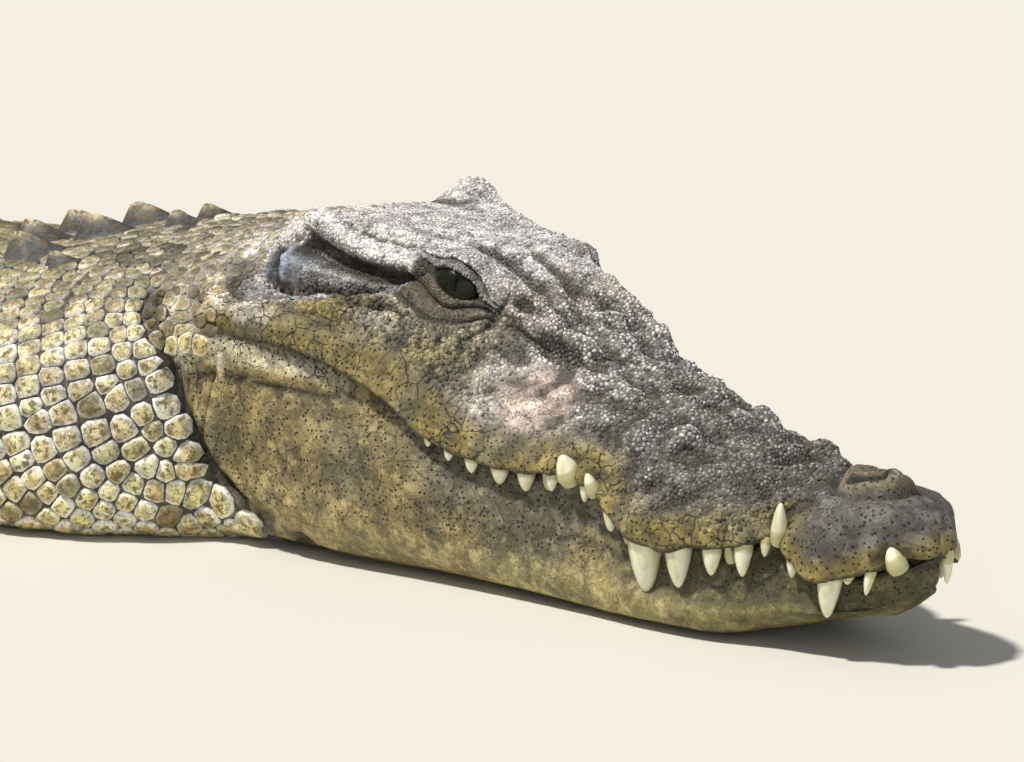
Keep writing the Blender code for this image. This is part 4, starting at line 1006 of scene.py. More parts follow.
class Shader:
    """Builds the nodes of a material or of a node group."""

    def __init__(self, tree):
        self.tree = tree

    def feed(self, node, key, value):
        """Links a socket, or sets a value, as an input of the node."""
        if isinstance(value, bpy.types.NodeSocket):
            self.tree.links.new(value, node.inputs[key])
        else:
            node.inputs[key].default_value = value

    def node(self, kind, inputs=None, **settings):
        made = self.tree.nodes.new(kind)
        for key, value in settings.items():
            setattr(made, key, value)
        for key, value in (inputs or {}).items():
            self.feed(made, key, value)
        return made

    def math(self, operation, a, b=0.0, clamp=False):
        return self.node("ShaderNodeMath", {0: a, 1: b}, operation=operation, use_clamp=clamp).outputs[0]

    def times(self, a, b, clamp=False):
        return self.math("MULTIPLY", a, b, clamp)

    def vector(self, operation, a, b):
        return self.node("ShaderNodeVectorMath", {0: a, 1: b}, operation=operation).outputs[0]

    def ramp(self, value, low, high, from_value=0.0, to_value=1.0):
        inputs = {"Value": value, "From Min": low, "From Max": high, "To Min": from_value, "To Max": to_value}
        return self.node("ShaderNodeMapRange", inputs, interpolation_type="SMOOTHSTEP").outputs[0]

    def noise(self, vector, scale, detail=2.0, rough=0.5, output="Fac"):
        inputs = {"Vector": vector, "Scale": scale, "Detail": detail, "Roughness": rough}
        return self.node("ShaderNodeTexNoise", inputs).outputs[output]

    def cells(self, vector, scale, feature="F1", randomness=1.0, output="Distance"):
        inputs = {"Vector": vector, "Scale": scale, "Randomness": randomness}
        return self.node("ShaderNodeTexVoronoi", inputs, feature=feature).outputs[output]

    def mix(self, share, first, second):
        made = self.node("ShaderNodeMix", data_type="RGBA")
        self.feed(made, 0, share)
        for key, value in ((6, first), (7, second)):
            self.feed(made, key, value if isinstance(value, bpy.types.NodeSocket) else (*value, 1))
        return made.outputs[2]

    def attribute(self, name, output="Fac"):
        made = self.node("ShaderNodeAttribute", attribute_name=name, attribute_type="GEOMETRY")
        return made.outputs[output]

    def place(self):
        return self.node("ShaderNodeTexCoord").outputs["Object"]

    def group(self, tree, **inputs):
        return self.node("ShaderNodeGroup", inputs, node_tree=tree).outputs

    def bump(self, surface, height, strength, distance):
        bump = self.node("ShaderNodeBump", {"Height": height, "Strength": strength, "Distance": distance})
        self.feed(surface, "Normal", bump.outputs[0])


def new_group(name, inputs, outputs):
    """An empty node group with named sockets; the shader, its inputs and its output node."""
    group = bpy.data.node_groups.new(name, "ShaderNodeTree")
    for direction, sockets in (("INPUT", inputs), ("OUTPUT", outputs)):
        for socket, kind in sockets.items():
            group.interface.new_socket(name=socket, in_out=direction, socket_type=f"NodeSocket{kind}")
    shader = Shader(group)
    return shader, shader.node("NodeGroupInput").outputs, shader.node("NodeGroupOutput")


def make_weathering():
    """Mottle, dark specks and pale dust over any hide colour."""
    shader, given, out = new_group(
        "Weathering",
        {"Color": "Color", "Place": "Vector", "Specks": "Float"},
        {"Color": "Color", "Grain": "Float"},
    )
    place = given["Place"]
    broad = shader.noise(place, 40.0, 5.0, 0.62)
    blotch = shader.noise(place, 115.0, 4.0, 0.62)
    fine = shader.noise(place, 420.0, 3.0, 0.75)
    tiny = shader.noise(place, 1150.0, 2.0, 0.7)
    deep = shader.mix(0.78, given["Color"], (0.040, 0.034, 0.020))
    colour = shader.mix(shader.times(shader.ramp(broad, 0.54, 0.575), 0.50), given["Color"], deep)
    scaled = shader.node("ShaderNodeVectorMath", {0: given["Color"], "Scale": 1.95}, operation="SCALE")
    brighter = shader.vector("MINIMUM", scaled.outputs[0], (0.90, 0.88, 0.84))
    pale = shader.mix(0.02, brighter, (0.66, 0.60, 0.46))
    dust = shader.mix(0.03, brighter, (0.80, 0.76, 0.68))
    colour = shader.mix(shader.times(shader.ramp(broad, 0.46, 0.43), 0.60), colour, pale)
    colour = shader.mix(shader.times(shader.ramp(blotch, 0.545, 0.575), 0.50), colour, deep)
    colour = shader.mix(shader.times(shader.ramp(blotch, 0.42, 0.395), 0.50), colour, pale)
    dark = shader.times(shader.ramp(fine, 0.49, 0.36), given["Specks"], True)
    colour = shader.mix(shader.times(dark, 0.88), colour, (0.030, 0.026, 0.020))
    light = shader.times(shader.ramp(tiny, 0.54, 0.68), given["Specks"], True)
    colour = shader.mix(shader.times(light, 0.80), colour, dust)
    shader.feed(out, "Color", colour)
    shader.feed(out, "Grain", shader.math("ADD", shader.times(fine, 0.7), shader.times(tiny, 0.3)))
    return shader.tree


def make_crackle():
    """The thin creases between plates and the dark pits scattered on them."""
    shader, given, out = new_group(
        "Crackle",
        {"Place": "Vector", "Plated": "Float", "Pitted": "Float"},
        {"Crease": "Float", "Pit": "Float", "Tone": "Float"},
    )
    place = given["Place"]
    warp = shader.noise(place, 60.0, output="Color")
    bent = shader.vector("ADD", place, shader.vector("MULTIPLY", warp, (0.009, 0.009, 0.009)))
    whole = shader.ramp(shader.noise(place, 34.0), 0.36, 0.56, 0.20, 1.0)
    crease = shader.times(shader.ramp(shader.cells(bent, 66.0, "DISTANCE_TO_EDGE"), 0.034, 0.004), whole)
    broken = shader.times(shader.ramp(shader.noise(place, 25.0, 1.0), 0.46, 0.62), 0.35)
    finer = shader.times(shader.ramp(shader.cells(bent, 165.0, "DISTANCE_TO_EDGE"), 0.060, 0.01), broken)
    shader.feed(out, "Crease", shader.times(shader.math("MAXIMUM", crease, finer), given["Plated"], True))
    spots = shader.cells(place, 250.0, randomness=0.80)
    shader.feed(out, "Pit", shader.times(shader.ramp(spots, 0.285, 0.215), given["Pitted"], True))
    tone = shader.cells(bent, 62.0, output="Color")
    shader.feed(out, "Tone", shader.node("ShaderNodeSeparateColor", {0: tone}).outputs[0])
    return shader.tree


WEATHERING = make_weathering()
CRACKLE = make_crackle()


def new_material(name, roughness, coat=0.0):
    material = bpy.data.materials.new(name)
    material.use_nodes = True
    surface = material.node_tree.nodes["Principled BSDF"]
    surface.inputs["Roughness"].default_value = roughness
    surface.inputs["Metallic"].default_value = 0.0
    surface.inputs["Specular IOR Level"].default_value = 0.28
    surface.inputs["Coat Weight"].default_value = coat
    surface.inputs["Coat Roughness"].default_value = 0.1
    return material, Shader(material.node_tree), surface


def make_hide():
    """The bare skin: its colour and its marks come from the vertices."""
    material, shader, surface = new_material("Crocodile hide", 0.5)
    place, plated = shader.place(), shader.attribute("plated")
    crackle = shader.group(CRACKLE, Place=place, Plated=plated, Pitted=shader.attribute("pitted"))
    shade = shader.times(shader.ramp(crackle["Tone"], 0.55, 1.0), shader.times(plated, 0.30))
    tone = shader.mix(shade, shader.attribute("tone", "Color"), (0.085, 0.080, 0.062))
    weather = shader.group(WEATHERING, Color=tone, Place=place, Specks=shader.attribute("specks"))
    colour = shader.mix(shader.times(crackle["Crease"], 0.90), weather["Color"], (0.022, 0.018, 0.012))
    colour = shader.mix(shader.times(crackle["Pit"], 0.9), colour, (0.016, 0.014, 0.010))
    shader.feed(surface, "Base Color", colour)
    shader.feed(surface, "Roughness", shader.ramp(weather["Grain"], 0.3, 0.7, 0.42, 0.66))
    height = shader.math("SUBTRACT", weather["Grain"], shader.times(crackle["Crease"], 1.1))
    shader.bump(surface, shader.math("SUBTRACT", height, shader.times(crackle["Pit"], 0.8)), 0.75, 0.0010)
    return material


def make_scale_finish():
    """A horny scale: painted shade round its rim, where it meets the skin, with brown stains that are
    strongest in its middle.
    """
    material, shader, surface = new_material("Horny scale", 0.45)
    place, rim = shader.place(), shader.attribute("rim")
    weather = shader.group(WEATHERING, Color=shader.attribute("tone", "Color"), Place=place, Specks=0.55)
    blotch = shader.noise(place, 190.0, 3.0, 0.7)
    stain = shader.times(shader.ramp(blotch, 0.50, 0.60), shader.ramp(rim, 0.62, 0.28, 0.25, 0.85))
    colour = shader.mix(stain, weather["Color"], (0.125, 0.088, 0.034))
    # painted shade round the foot of the scale, where it meets the skin
    colour = shader.mix(shader.ramp(rim, 0.78, 0.98, 0.0, 0.94), colour, (0.026, 0.019, 0.017))
    shader.feed(surface, "Base Color", colour)
    shader.bump(surface, shader.math("ADD", shader.times(blotch, 0.8), weather["Grain"]), 0.6, 0.0011)
    return material


def make_granule_finish():
    """The granules of the face, with painted shade in the gaps between them."""
    material, shader, surface = new_material("Face granule", 0.55)
    tone = shader.attribute("tone", "Color")
    weather = shader.group(WEATHERING, Color=tone, Place=shader.place(), Specks=0.75)
    # painted shade down each granule's sides into the gaps
    border = shader.ramp(shader.attribute("rim"), 0.35, 1.0, 0.0, 0.94)
    shader.feed(surface, "Base Color", shader.mix(border, weather["Color"], (0.022, 0.018, 0.014)))
    shader.bump(surface, weather["Grain"], 0.7, 0.0010)
    return material


def make_tooth_finish():
    """Ivory, stained in streaks along the tooth and browner at the gum."""
    material, shader, surface = new_material("Tooth enamel", 0.26, 0.3)
    stain = shader.noise(shader.vector("MULTIPLY", shader.place(), (1.0, 1.0, 0.25)), 160.0, 3.0, 0.6)
    colour = shader.mix(shader.ramp(stain, 0.40, 0.70), (0.74, 0.73, 0.55), (0.60, 0.56, 0.31))
    gum = shader.ramp(shader.attribute("rim"), 0.70, 1.0, 0.0, 0.85)
    shader.feed(surface, "Base Color", shader.mix(gum, colour, (0.40, 0.37, 0.16)))
    surface.inputs["Specular IOR Level"].default_value = 0.5
    surface.inputs["Subsurface Weight"].default_value = 0.08
    surface.inputs["Subsurface Scale"].default_value = 0.004
    shader.bump(surface, stain, 0.25, 0.0006)
    return material


def make_claw_finish():
    material, shader, surface = new_material("Claw horn", 0.38, 0.1)
    grain = shader.noise(shader.place(), 240.0, 3.0, 0.6)
    colour = shader.mix(shader.ramp(grain, 0.35, 0.65), (0.055, 0.045, 0.034), (0.16, 0.13, 0.085))
    shader.feed(surface, "Base Color", colour)
    shader.bump(surface, grain, 0.4, 0.0008)
    return material


def make_eye_finish():
    """A dark green iris with an upright slit, under a wet cornea."""
    material, shader, surface = new_material("Wet eye", 0.20, 0.12)
    surface.inputs["Specular IOR Level"].default_value = 0.10
    surface.inputs["Coat Roughness"].default_value = 0.03
    across, upright = shader.attribute("across"), shader.attribute("upright")
    veins = shader.noise(shader.place(), 520.0, 4.0, 0.7)
    colour = shader.mix(shader.ramp(veins, 0.30, 0.75), (0.005, 0.0055, 0.003), (0.015, 0.017, 0.007))
    square = shader.math("ADD", shader.math("POWER", across, 2.0), shader.math("POWER", upright, 2.0))
    off_iris = shader.ramp(shader.math("SQRT", square), 0.0120, 0.0150)
    colour = shader.mix(off_iris, colour, (0.012, 0.011, 0.008))
    width = shader.ramp(shader.math("ABSOLUTE", upright), 0.0105, 0.0, 0.0, 0.0011)
    slit = shader.math("LESS_THAN", shader.math("ABSOLUTE", across), width)
    shader.feed(surface, "Base Color", shader.mix(slit, colour, (0.002, 0.002, 0.002)))
    return material


# ---------------------------------------------------------------- markings, shared by the skin and the scales
BONE_BEIGE = (0.60, 0.565, 0.565)
BROW_BUFF = (0.30, 0.275, 0.235)
SNOUT_GREY = np.array((0.250, 0.234, 0.232))
SNOUT_TIP = (0.078, 0.072, 0.066)
LIP_OCHRE = (0.160, 0.126, 0.043)
CHEEK_TAN = (0.25, 0.225, 0.155)
CHEEK_DUSK = (0.062, 0.056, 0.038)
TEMPLE_BUFF = (0.33, 0.30, 0.26)
REAR_BUFF = (0.40, 0.36, 0.29)
ROSE = (0.70, 0.55, 0.47)
SLATE = (0.33, 0.32, 0.32)
EAR_SLATE = (0.17, 0.20, 0.245)
EAR_DARK = (0.190, 0.185, 0.180)
JAW_OCHRE = (0.225, 0.178, 0.078)
JAW_GREY = (0.105, 0.104, 0.078)
JAW_SMUDGE = (0.120, 0.112, 0.084)
JAW_BAND = (0.42, 0.39, 0.28)
CHIN_OLIVE = (0.072, 0.064, 0.020)
THROAT_CREAM = (0.22, 0.190, 0.082)
LID_GREY = (0.175, 0.170, 0.165)
LID_BROWN = (0.105, 0.090, 0.066)
LID_EDGE = (0.012, 0.010, 0.008)
# painted shade for the fold round the lids and the line of the shut mouth
CREASE_SHADE = (0.020, 0.016, 0.012)
DISC_BROWN = (0.105, 0.088, 0.045)
KNOB_GREY = (0.16, 0.165, 0.15)
# painted shade for the nostrils' slits
NOSTRIL_SHADE = (0.008, 0.007, 0.006)
DARK_OLIVE = (0.105, 0.098, 0.066)
BLACKISH = (0.030, 0.027, 0.020)
# painted shade for the hollows of the skin
HOLLOW_SHADE = (0.035, 0.030, 0.022)
NECK_STRAW = (0.92, 0.88, 0.74)
# the paler low sides: partly the hide's own colour, partly painted light that brightens the sides facing down
LOW_SIDE_PALE_AND_LIT = (0.86, 0.76, 0.44)
NAPE_GREY = (0.155, 0.145, 0.130)
BACK_OLIVE = (0.185, 0.175, 0.120)
FLANK_STRAW = (0.42, 0.36, 0.20)
FLANK_BLOTCH = (0.085, 0.080, 0.052)
BELLY_CREAM = (0.74, 0.66, 0.44)

SLATE_LINE = ((-0.070, 0.118, 0.198), (-0.02, 0.118, 0.192), (0.03, 0.110, 0.190))
ROSE_PLACE = np.array((0.240, 0.075, 0.140))
SIDEWAYS = np.array((1.0, 0.35, 1.0))  # so that the bottom of a deep groove counts as near its line
FOLD_SHADOWS = {  # how far round its line a fold is dark, and how dark
    "under_table": (0.009, 0.92), "ear_slit": (0.005, 0.92), "ear_slit_top": (0.005, 0.92),
    "jaw_band_edge": (0.0024, 0.75), "jaw_crease": (0.0095, 0.92), "under_lobe": (0.005, 0.75),
    "behind_lobe": (0.006, 0.75), "cheek_trough": (0.003, 0.75), "between_ridges": (0.002, 0.75),
    "under_before_eye": (0.0022, 0.75), "forehead_v_inside": (0.003, 0.75),
}


def blend_in(colour, share, other):
    return colour * (1 - share[:, None]) + np.asarray(other) * share[:, None]


def glazed(colour, *glazes):
    """The colour under glazes given as (share, tone), the first of them laid first."""
    for share, tone in glazes:
        colour = blend_in(colour, share, tone)
    return colour


def relief_shaded(tones, relief):
    """Painted shade in the hollows and a painted highlight on what stands out."""
    tones = blend_in(tones, 0.80 * smooth_step(0.0, -0.0011, relief), HOLLOW_SHADE)
    return np.clip(tones * (1 + 0.45 * smooth_step(0.0005, 0.0022, relief))[:, None], 0, 0.95)


def glaze_face(points, where, drift, patch):
    """The ground colours of cheeks, jaws, snout and skull roof, with painted shade in the grooves of the
    cheek's wrinkles; also the masks of the rose and the band.
    """
    same = mirrored(points)
    ahead, _, up = same.T
    jaw, cheek, snout, top, over_lip = (where[name] for name in ("jaw", "cheek", "snout", "top", "over_lip"))
    dusky = cheek * smooth_step(0.02, 0.05, over_lip) * smooth_step(0.02, 0.05, ahead)
    waves = clouds(points * WRINKLE_STRETCH, WRINKLE_SIZE, 7)
    wrinkles = cheek * smooth_step(-0.03, 0.0, ahead) * smooth_step(0.20, 0.16, ahead)
    wrinkles = wrinkles * smooth_step(0.015, 0.030, over_lip)
    temple = cheek * smooth_step(0.05, 0.00, ahead) * smooth_step(0.008, 0.018, over_lip + 0.005 * patch)
    rear = cheek * smooth_step(-0.035, -0.060, ahead + 0.01 * patch)
    grey_jaw = jaw * smooth_step(0.08, 0.20, ahead) * smooth_step(-0.075, -0.015, over_lip + 0.02 * drift)
    snout_grey = SNOUT_GREY * np.interp(ahead, (0.22, 0.33, 0.45), (2.40, 1.05, 0.60))[:, None]
    snout_grey *= (1 - 0.25 * smooth_step(0.060, 0.035, over_lip))[:, None]
    tip = smooth_step(0.455, 0.500, ahead) * smooth_step(0.004, 0.022, over_lip)
    brow = smooth_step(0.07, 0.11, ahead) * smooth_step(0.26, 0.19, ahead) * smooth_step(0.165, 0.195, up)
    from_rose = np.linalg.norm((same - ROSE_PLACE) / (1.15, 1, 1), axis=1)
    rose = smooth_step(0.034, 0.016, from_rose + 0.008 * patch)
    band = smooth_step(-0.028, -0.018, over_lip + 0.004 * drift) * jaw * smooth_step(0.10, 0.06, ahead)
    colour = glazed(
        np.tile(LIP_OCHRE, (len(points), 1)),
        (smooth_step(0.02, 0.075, over_lip + 0.014 * patch) * 0.60, CHEEK_TAN),
        (0.60 * smooth_step(0.1, 0.6, patch) * cheek, DARK_OLIVE),
        (0.85 * dusky * smooth_step(-0.3, 0.3, drift), CHEEK_DUSK),
        # painted shade in the grooves of the cheek's upright wrinkles
        (0.75 * wrinkles * smooth_step(0.24, 0.06, np.abs(waves)), BLACKISH),
        (0.70 * temple, TEMPLE_BUFF),
        (0.80 * rear, REAR_BUFF),
        (jaw, JAW_OCHRE),
        (0.80 * grey_jaw, JAW_GREY),
        (0.60 * jaw * smooth_step(0.05, 0.50, drift), DARK_OLIVE),
        (0.45 * jaw * smooth_step(0.20, 0.55, patch), JAW_SMUDGE),
        (0.75 * smooth_step(0.050, 0.015, up) * jaw, THROAT_CREAM),
        (0.95 * snout, snout_grey),
        (0.45 * snout * smooth_step(-0.1, 0.5, patch), DARK_OLIVE),
        (tip, SNOUT_TIP),
        (0.80 * jaw * smooth_step(0.30, 0.46, ahead), CHIN_OLIVE),
        (top, BONE_BEIGE),
        (0.55 * brow * (1 - top), BROW_BUFF),
        (0.92 * rose, ROSE),
        (0.80 * band, JAW_BAND),
    )
    return colour, tip, rose, band


def glaze_folds(points, colour, patch):
    """The grey of the temple and the ear, and painted shade in the bottoms of the folds."""
    same = mirrored(points)
    ahead, _, up = same.T
    slate, _ = line_distance(same, SLATE_LINE)
    ear, _ = line_distance(same, FOLDS["ear_lid"][0])
    lobe = smooth_step(0.018, -0.012, ahead + 0.3 * (0.205 - up))
    colour = glazed(
        colour,
        (0.85 * smooth_step(0.021, 0.011, slate + 0.004 * patch), SLATE),
        (0.85 * smooth_step(0.016, 0.011, ear), EAR_DARK),
        (0.85 * smooth_step(0.018, 0.012, ear) * lobe, EAR_SLATE),
    )
    # painted shade along the bottom of each fold
    for name, (reach, dark) in FOLD_SHADOWS.items():
        far, share = line_distance(same * SIDEWAYS, FOLDS[name][0] * SIDEWAYS)
        shade = dark * smooth_step(reach, 0.35 * reach, far) * fade_ends(share, 0.05, 0.12)
        colour = blend_in(colour, shade, BLACKISH)
    return colour


def lid_places(points):
    """(1 on the lids and 0 off them, 0 at a lid's edge to 1 at its fold, whether it is the upper one)."""
    along, up, out = eye_frame(points)
    upper = up >= 0
    outer = np.where(upper, (up - UPPER_EDGE(along)) / (UPPER_FOLD(along) - UPPER_EDGE(along)),
                     (LOWER_EDGE(along) - up) / (LOWER_EDGE(along) - LOWER_FOLD_2(along)))
    share = smooth_step(1.25, 1.05, outer) * smooth_step(-0.036, -0.030, along)
    share = share * smooth_step(0.049, 0.043, along)
    return share * (out > -0.01) * (np.abs(up) < 0.028), outer, upper


def head_markings(points):
    """(colour, plated, pitted, specks) of straightened points on the head."""
    same = mirrored(points)
    ahead, out, up = same.T
    where = zones(points)
    jaw, cheek, snout, top, over_lip = (where[name] for name in ("jaw", "cheek", "snout", "top", "over_lip"))
    drift, patch = clouds(points, 0.045, 41), clouds(points, 0.022, 42)
    colour, tip, rose, band = glaze_face(points, where, drift, patch)
    colour = glaze_folds(points, colour, patch)
    lids, outer, upper = lid_places(points)
    hollow = np.exp(-(((outer - 1.0) / 0.06) ** 2)) * (lids > 0.02)
    shut = np.exp(-(((over_lip + 0.0022) / 0.0030) ** 2)) * smooth_step(-0.075, -0.05, ahead)
    disc = smooth_step(1.12, 1.0, oval(ahead, out, *NOSTRIL_DISC)) * smooth_step(0.084, 0.090, up)
    knob = smooth_step(1.0, 0.7, oval(ahead, out, *NOSTRIL_KNOB))
    slit, _ = line_distance(same * (1, 1, 0), NOSTRIL)
    colour = glazed(
        colour,
        (lids, np.where(upper[:, None], LID_GREY, LID_BROWN)),
        (0.9 * (lids * smooth_step(0.10, 0.0, outer)), LID_EDGE),
        # painted shade in the fold round the lids and along the line of the shut mouth
        (0.75 * hollow, CREASE_SHADE),
        (0.9 * shut, CREASE_SHADE),
        (0.8 * disc, DISC_BROWN),
        (knob * disc, KNOB_GREY),
        # painted shade in the nostrils' slits
        (smooth_step(0.0048, 0.0030, slit) * disc, NOSTRIL_SHADE),
    )
    plated = (0.56 + 0.44 * band) * jaw + cheek * smooth_step(0.070, 0.045, over_lip) + 0.4 * rose
    plated = np.clip(plated, 0, 1) * (1 - lids) * smooth_step(0.475, 0.445, ahead)
    plated = plated * (1 - 0.55 * smooth_step(0.05, 0.02, up) * jaw)
    pitted = np.clip(jaw + cheek + tip + 0.35 * snout, 0, 1) * (1 - lids)
    pitted = pitted * smooth_step(0.025, 0.05, up + 0.05 * (jaw < 0.5))
    specks = 0.45 + 0.50 * top + 0.60 * snout + 0.45 * cheek * smooth_step(0.03, 0.07, over_lip)
    return colour, plated, pitted, np.clip(specks, 0, 1) * (1 - 0.6 * lids)


def body_markings(points):
    """The colour behind the head: straw sides with dark blotches, an olive back and a banded tail."""
    station, up = HEAD_LENGTH - points[:, 0], points[:, 2]
    high = np.clip(up / BACK_HEIGHT(station), 0, 1.2)
    drift, patch = clouds(points, 0.16, 51), clouds(points, 0.05, 52)
    back = smooth_step(0.62, 0.86, high + 0.10 * patch) * smooth_step(0.60, 0.95, station + 0.1 * drift)
    nape = smooth_step(0.62, 0.90, high + 0.06 * patch) * smooth_step(1.0, 0.72, station)
    blotch = smooth_step(0.18, 0.60, patch + 0.35 * drift) * smooth_step(0.12, 0.40, high)
    bands = np.sin(2 * math.pi * (station + 0.05 * drift) / 0.235)
    banded = smooth_step(0.05, 0.65, bands + 0.35 * patch) * smooth_step(0.22, 0.60, high)
    return glazed(
        np.tile(FLANK_STRAW, (len(points), 1)),
        (smooth_step(1.15, 0.85, station) * 0.9, NECK_STRAW),
        # paler low sides: partly the hide's own colour, partly painted light that brightens the sides facing
        # down
        (0.70 * smooth_step(0.42, 0.15, high), LOW_SIDE_PALE_AND_LIT),
        (smooth_step(0.10, 0.0, high), BELLY_CREAM),
        (0.92 * back, BACK_OLIVE),
        (0.85 * nape, NAPE_GREY),
        (0.62 * (blotch * smooth_step(0.70, 1.1, station)), FLANK_BLOTCH),
        (0.62 * (banded * smooth_step(1.15, 1.6, station)), BLACKISH),
    )


def markings(points):
    """(colour, plated, pitted, specks) anywhere along the straightened animal."""
    ahead, up = points[:, 0], points[:, 2]
    head = smooth_step(-0.007, 0.003, ahead - CREASE_AHEAD(up))
    head = np.where(up > 0.185, smooth_step(-0.13, -0.07, ahead), head)
    colour, plated, pitted, specks = head_markings(points)
    body = body_markings(points)
    return blend_in(body, head, colour), plated * head, pitted * head, specks * head + 0.4 * (1 - head)


# ---------------------------------------------------------------- teeth
BOTH = (-1, 1)
SHORT_TOOTH = 0.010  # lower teeth shorter than this barely show over the lip
UPPER_TEETH = (  # ahead, length below the lip, width at the lip, sides that have it
    (0.172, 0.007, 0.009, BOTH), (0.190, 0.009, 0.010, BOTH), (0.209, 0.012, 0.0125, BOTH),
    (0.232, 0.014, 0.0155, BOTH), (0.255, 0.015, 0.0145, BOTH), (0.279, 0.013, 0.0110, BOTH),
    (0.311, 0.014, 0.0095, BOTH), (0.335, 0.017, 0.0130, BOTH), (0.361, 0.041, 0.0265, BOTH),
    (0.388, 0.028, 0.0200, BOTH), (0.413, 0.021, 0.0145, BOTH), (0.433, 0.022, 0.0135, BOTH),
    (0.447, 0.013, 0.0090, BOTH), (0.472, 0.014, 0.0100, BOTH), (0.503, 0.027, 0.0180, BOTH),
    (0.517, 0.006, 0.0100, BOTH), (0.529, 0.017, 0.0080, BOTH), (0.5535, 0.020, 0.0085, (1,)),
)
LOWER_TEETH = (  # ahead, height above the edge of the upper lip, width, sides
    (0.272, 0.004, 0.0095, BOTH), (0.295, 0.0125, 0.0195, BOTH), (0.321, 0.0105, 0.0115, BOTH),
    (0.348, 0.002, 0.008, BOTH), (0.423, 0.002, 0.008, BOTH), (0.4565, 0.025, 0.0125, BOTH),
    (0.541, 0.0102, 0.0155, BOTH),
)


def tooth_pattern():
    """One tooth along +Z: a slightly curved, fluted cone of unit length and unit width at the root."""
    bpy.ops.object.select_all(action="DESELECT")
    bpy.ops.mesh.primitive_cone_add(vertices=20, radius1=0.5, radius2=0.0, depth=1.0, location=(0, 0, 0.5))
    cone = bpy.context.object
    bpy.ops.object.transform_apply(location=True, rotation=True, scale=True)
    bpy.ops.object.mode_set(mode="EDIT")
    bpy.ops.mesh.select_all(action="SELECT")
    bpy.ops.mesh.bisect(plane_co=(0, 0, 0.001), plane_no=(0, 0, 1), clear_inner=True)
    for height in (0.10, 0.22, 0.36, 0.50, 0.64, 0.77, 0.88, 0.95):
        bpy.ops.mesh.select_all(action="SELECT")
        bpy.ops.mesh.bisect(plane_co=(0, 0, height), plane_no=(0, 0, 1))
    bpy.ops.object.mode_set(mode="OBJECT")
    points = read_vectors(cone.data)
    height = points[:, 2].copy()
    angle = np.arctan2(points[:, 1], points[:, 0])
    full = np.clip(1 - height**2.6, 0, 1) ** 0.55 * (1 - 0.30 * height)
    straight = np.clip(1 - height, 1e-3, 1)
    size = np.where(height > 0.99, 1, full / straight) * (1 + 0.020 * np.cos(9 * angle) * (height < 0.9))
    size = size * (1 - 0.16 * smooth_step(0.25, 0.0, height))
    points[:, :2] *= size[:, None]
    points[:, 0] += -0.16 * height * height
    write_points(cone.data, points)
    return cone


def tooth_line(ahead, side, lower, length, width):
    """(root, tip) of a tooth. Upper teeth hang outside the lower jaw, lower ones stand outside the upper."""
    lip_width = LIP_WIDTH(ahead) * arc_fall(HEAD_LENGTH - SNOUT_ARC, HEAD_LENGTH, ahead)
    lip_height = LIP_HEIGHT(ahead)
    if lower:
        root = (ahead, side * (lip_width - 0.46 * width), lip_height - 0.0035)
        tip = (ahead - 0.002, side * (lip_width + 0.0030), lip_height + length)
        if length < SHORT_TOOTH:
            root = (ahead, side * (lip_width - 0.60 * width - 0.0065), lip_height - 0.012)
            tip = (ahead, side * (lip_width - 0.0055), lip_height + length)
    else:
        at = lip_width - 0.38 * width - 0.0030
        root = (ahead, side * at, lip_height + (0.010 if width > 0.016 else 0.0035))
        tip = (ahead, side * (at + 0.004), lip_height - length)
    return root, tip


def make_teeth(name, rows, lower, material):
    pattern = tooth_pattern()
    work = bmesh.new()
    rims = []
    for ahead, length, width, sides in rows:
        for side in sides:
            root, tip = (Vector(p) for p in bent(np.array(tooth_line(ahead, side, lower, length, width))))
            mesh = pattern.data.copy()
            reach = tip - root
            inwards = Vector(bent(np.array([(ahead, 0.0, root.z)]))[0]) - root
            upright = reach.normalized()
            across = upright.cross(inwards).normalized()
            inwards = across.cross(upright).normalized()
            turn = Matrix((-inwards, -across, upright)).transposed().to_4x4()
            size = Matrix.Diagonal((width * 1.02, width * 1.08, reach.length, 1))
            mesh.transform(Matrix.Translation(root) @ turn @ size)
            work.from_mesh(mesh)
            share = read_vectors(pattern.data)[:, 2]
            shown = (0.010 if lower else 0.008) / reach.length
            rims.append(np.clip(1.0 - (share - shown) * 3.2, 0, 1))
            bpy.data.meshes.remove(mesh)
    mesh = bpy.data.meshes.new(name)
    bmesh.ops.recalc_face_normals(work, faces=work.faces)
    work.to_mesh(mesh)
    work.free()
    bpy.data.objects.remove(pattern)
    made = add_object(name, mesh, material)
    set_attribute(mesh, "rim", np.concatenate(rims))
    return made


# ---------------------------------------------------------------- eyes
def make_eye(name, side, material):
    """One eyeball, bulging a little at the cornea, that looks outwards and ahead."""
    bpy.ops.object.select_all(action="DESELECT")
    bpy.ops.mesh.primitive_uv_sphere_add(segments=64, ring_count=40, radius=EYE_RADIUS, location=(0, 0, 0))
    ball = bpy.context.object
    ball.name = ball.data.name = name
    points = read_vectors(ball.data)
    gaze = np.array((0.562, 0.744, 0.362))
    gaze /= np.linalg.norm(gaze)
    forward = np.array((0.90, -0.42, -0.10))
    across = forward - (forward @ gaze) * gaze
    across /= np.linalg.norm(across)
    upright = np.cross(gaze, across)
    upright *= np.sign(upright[2])
    swollen = 1 + 0.045 * smooth_step(0.55, 0.92, points @ gaze / EYE_RADIUS)
    set_attribute(ball.data, "across", points @ across)
    set_attribute(ball.data, "upright", points @ upright)
    centre = EYE_PLACE + 0.0003 * EYE_OUT
    middle = bent((centre * (1, side, 1))[None])[0]
    spots = centre + points * swollen[:, None]
    spots[:, 1] *= side
    write_points(ball.data, place(HEAD_LENGTH - spots[:, 0], spots[:, 1], spots[:, 2]))
    spots = read_vectors(ball.data)
    write_points(ball.data, spots + middle - (spots.min(0) + spots.max(0)) / 2)
    if side < 0:
        ball.data.flip_normals()
    ball.data.polygons.foreach_set("use_smooth", [True] * len(ball.data.polygons))
    ball.data.materials.append(material)
    return ball


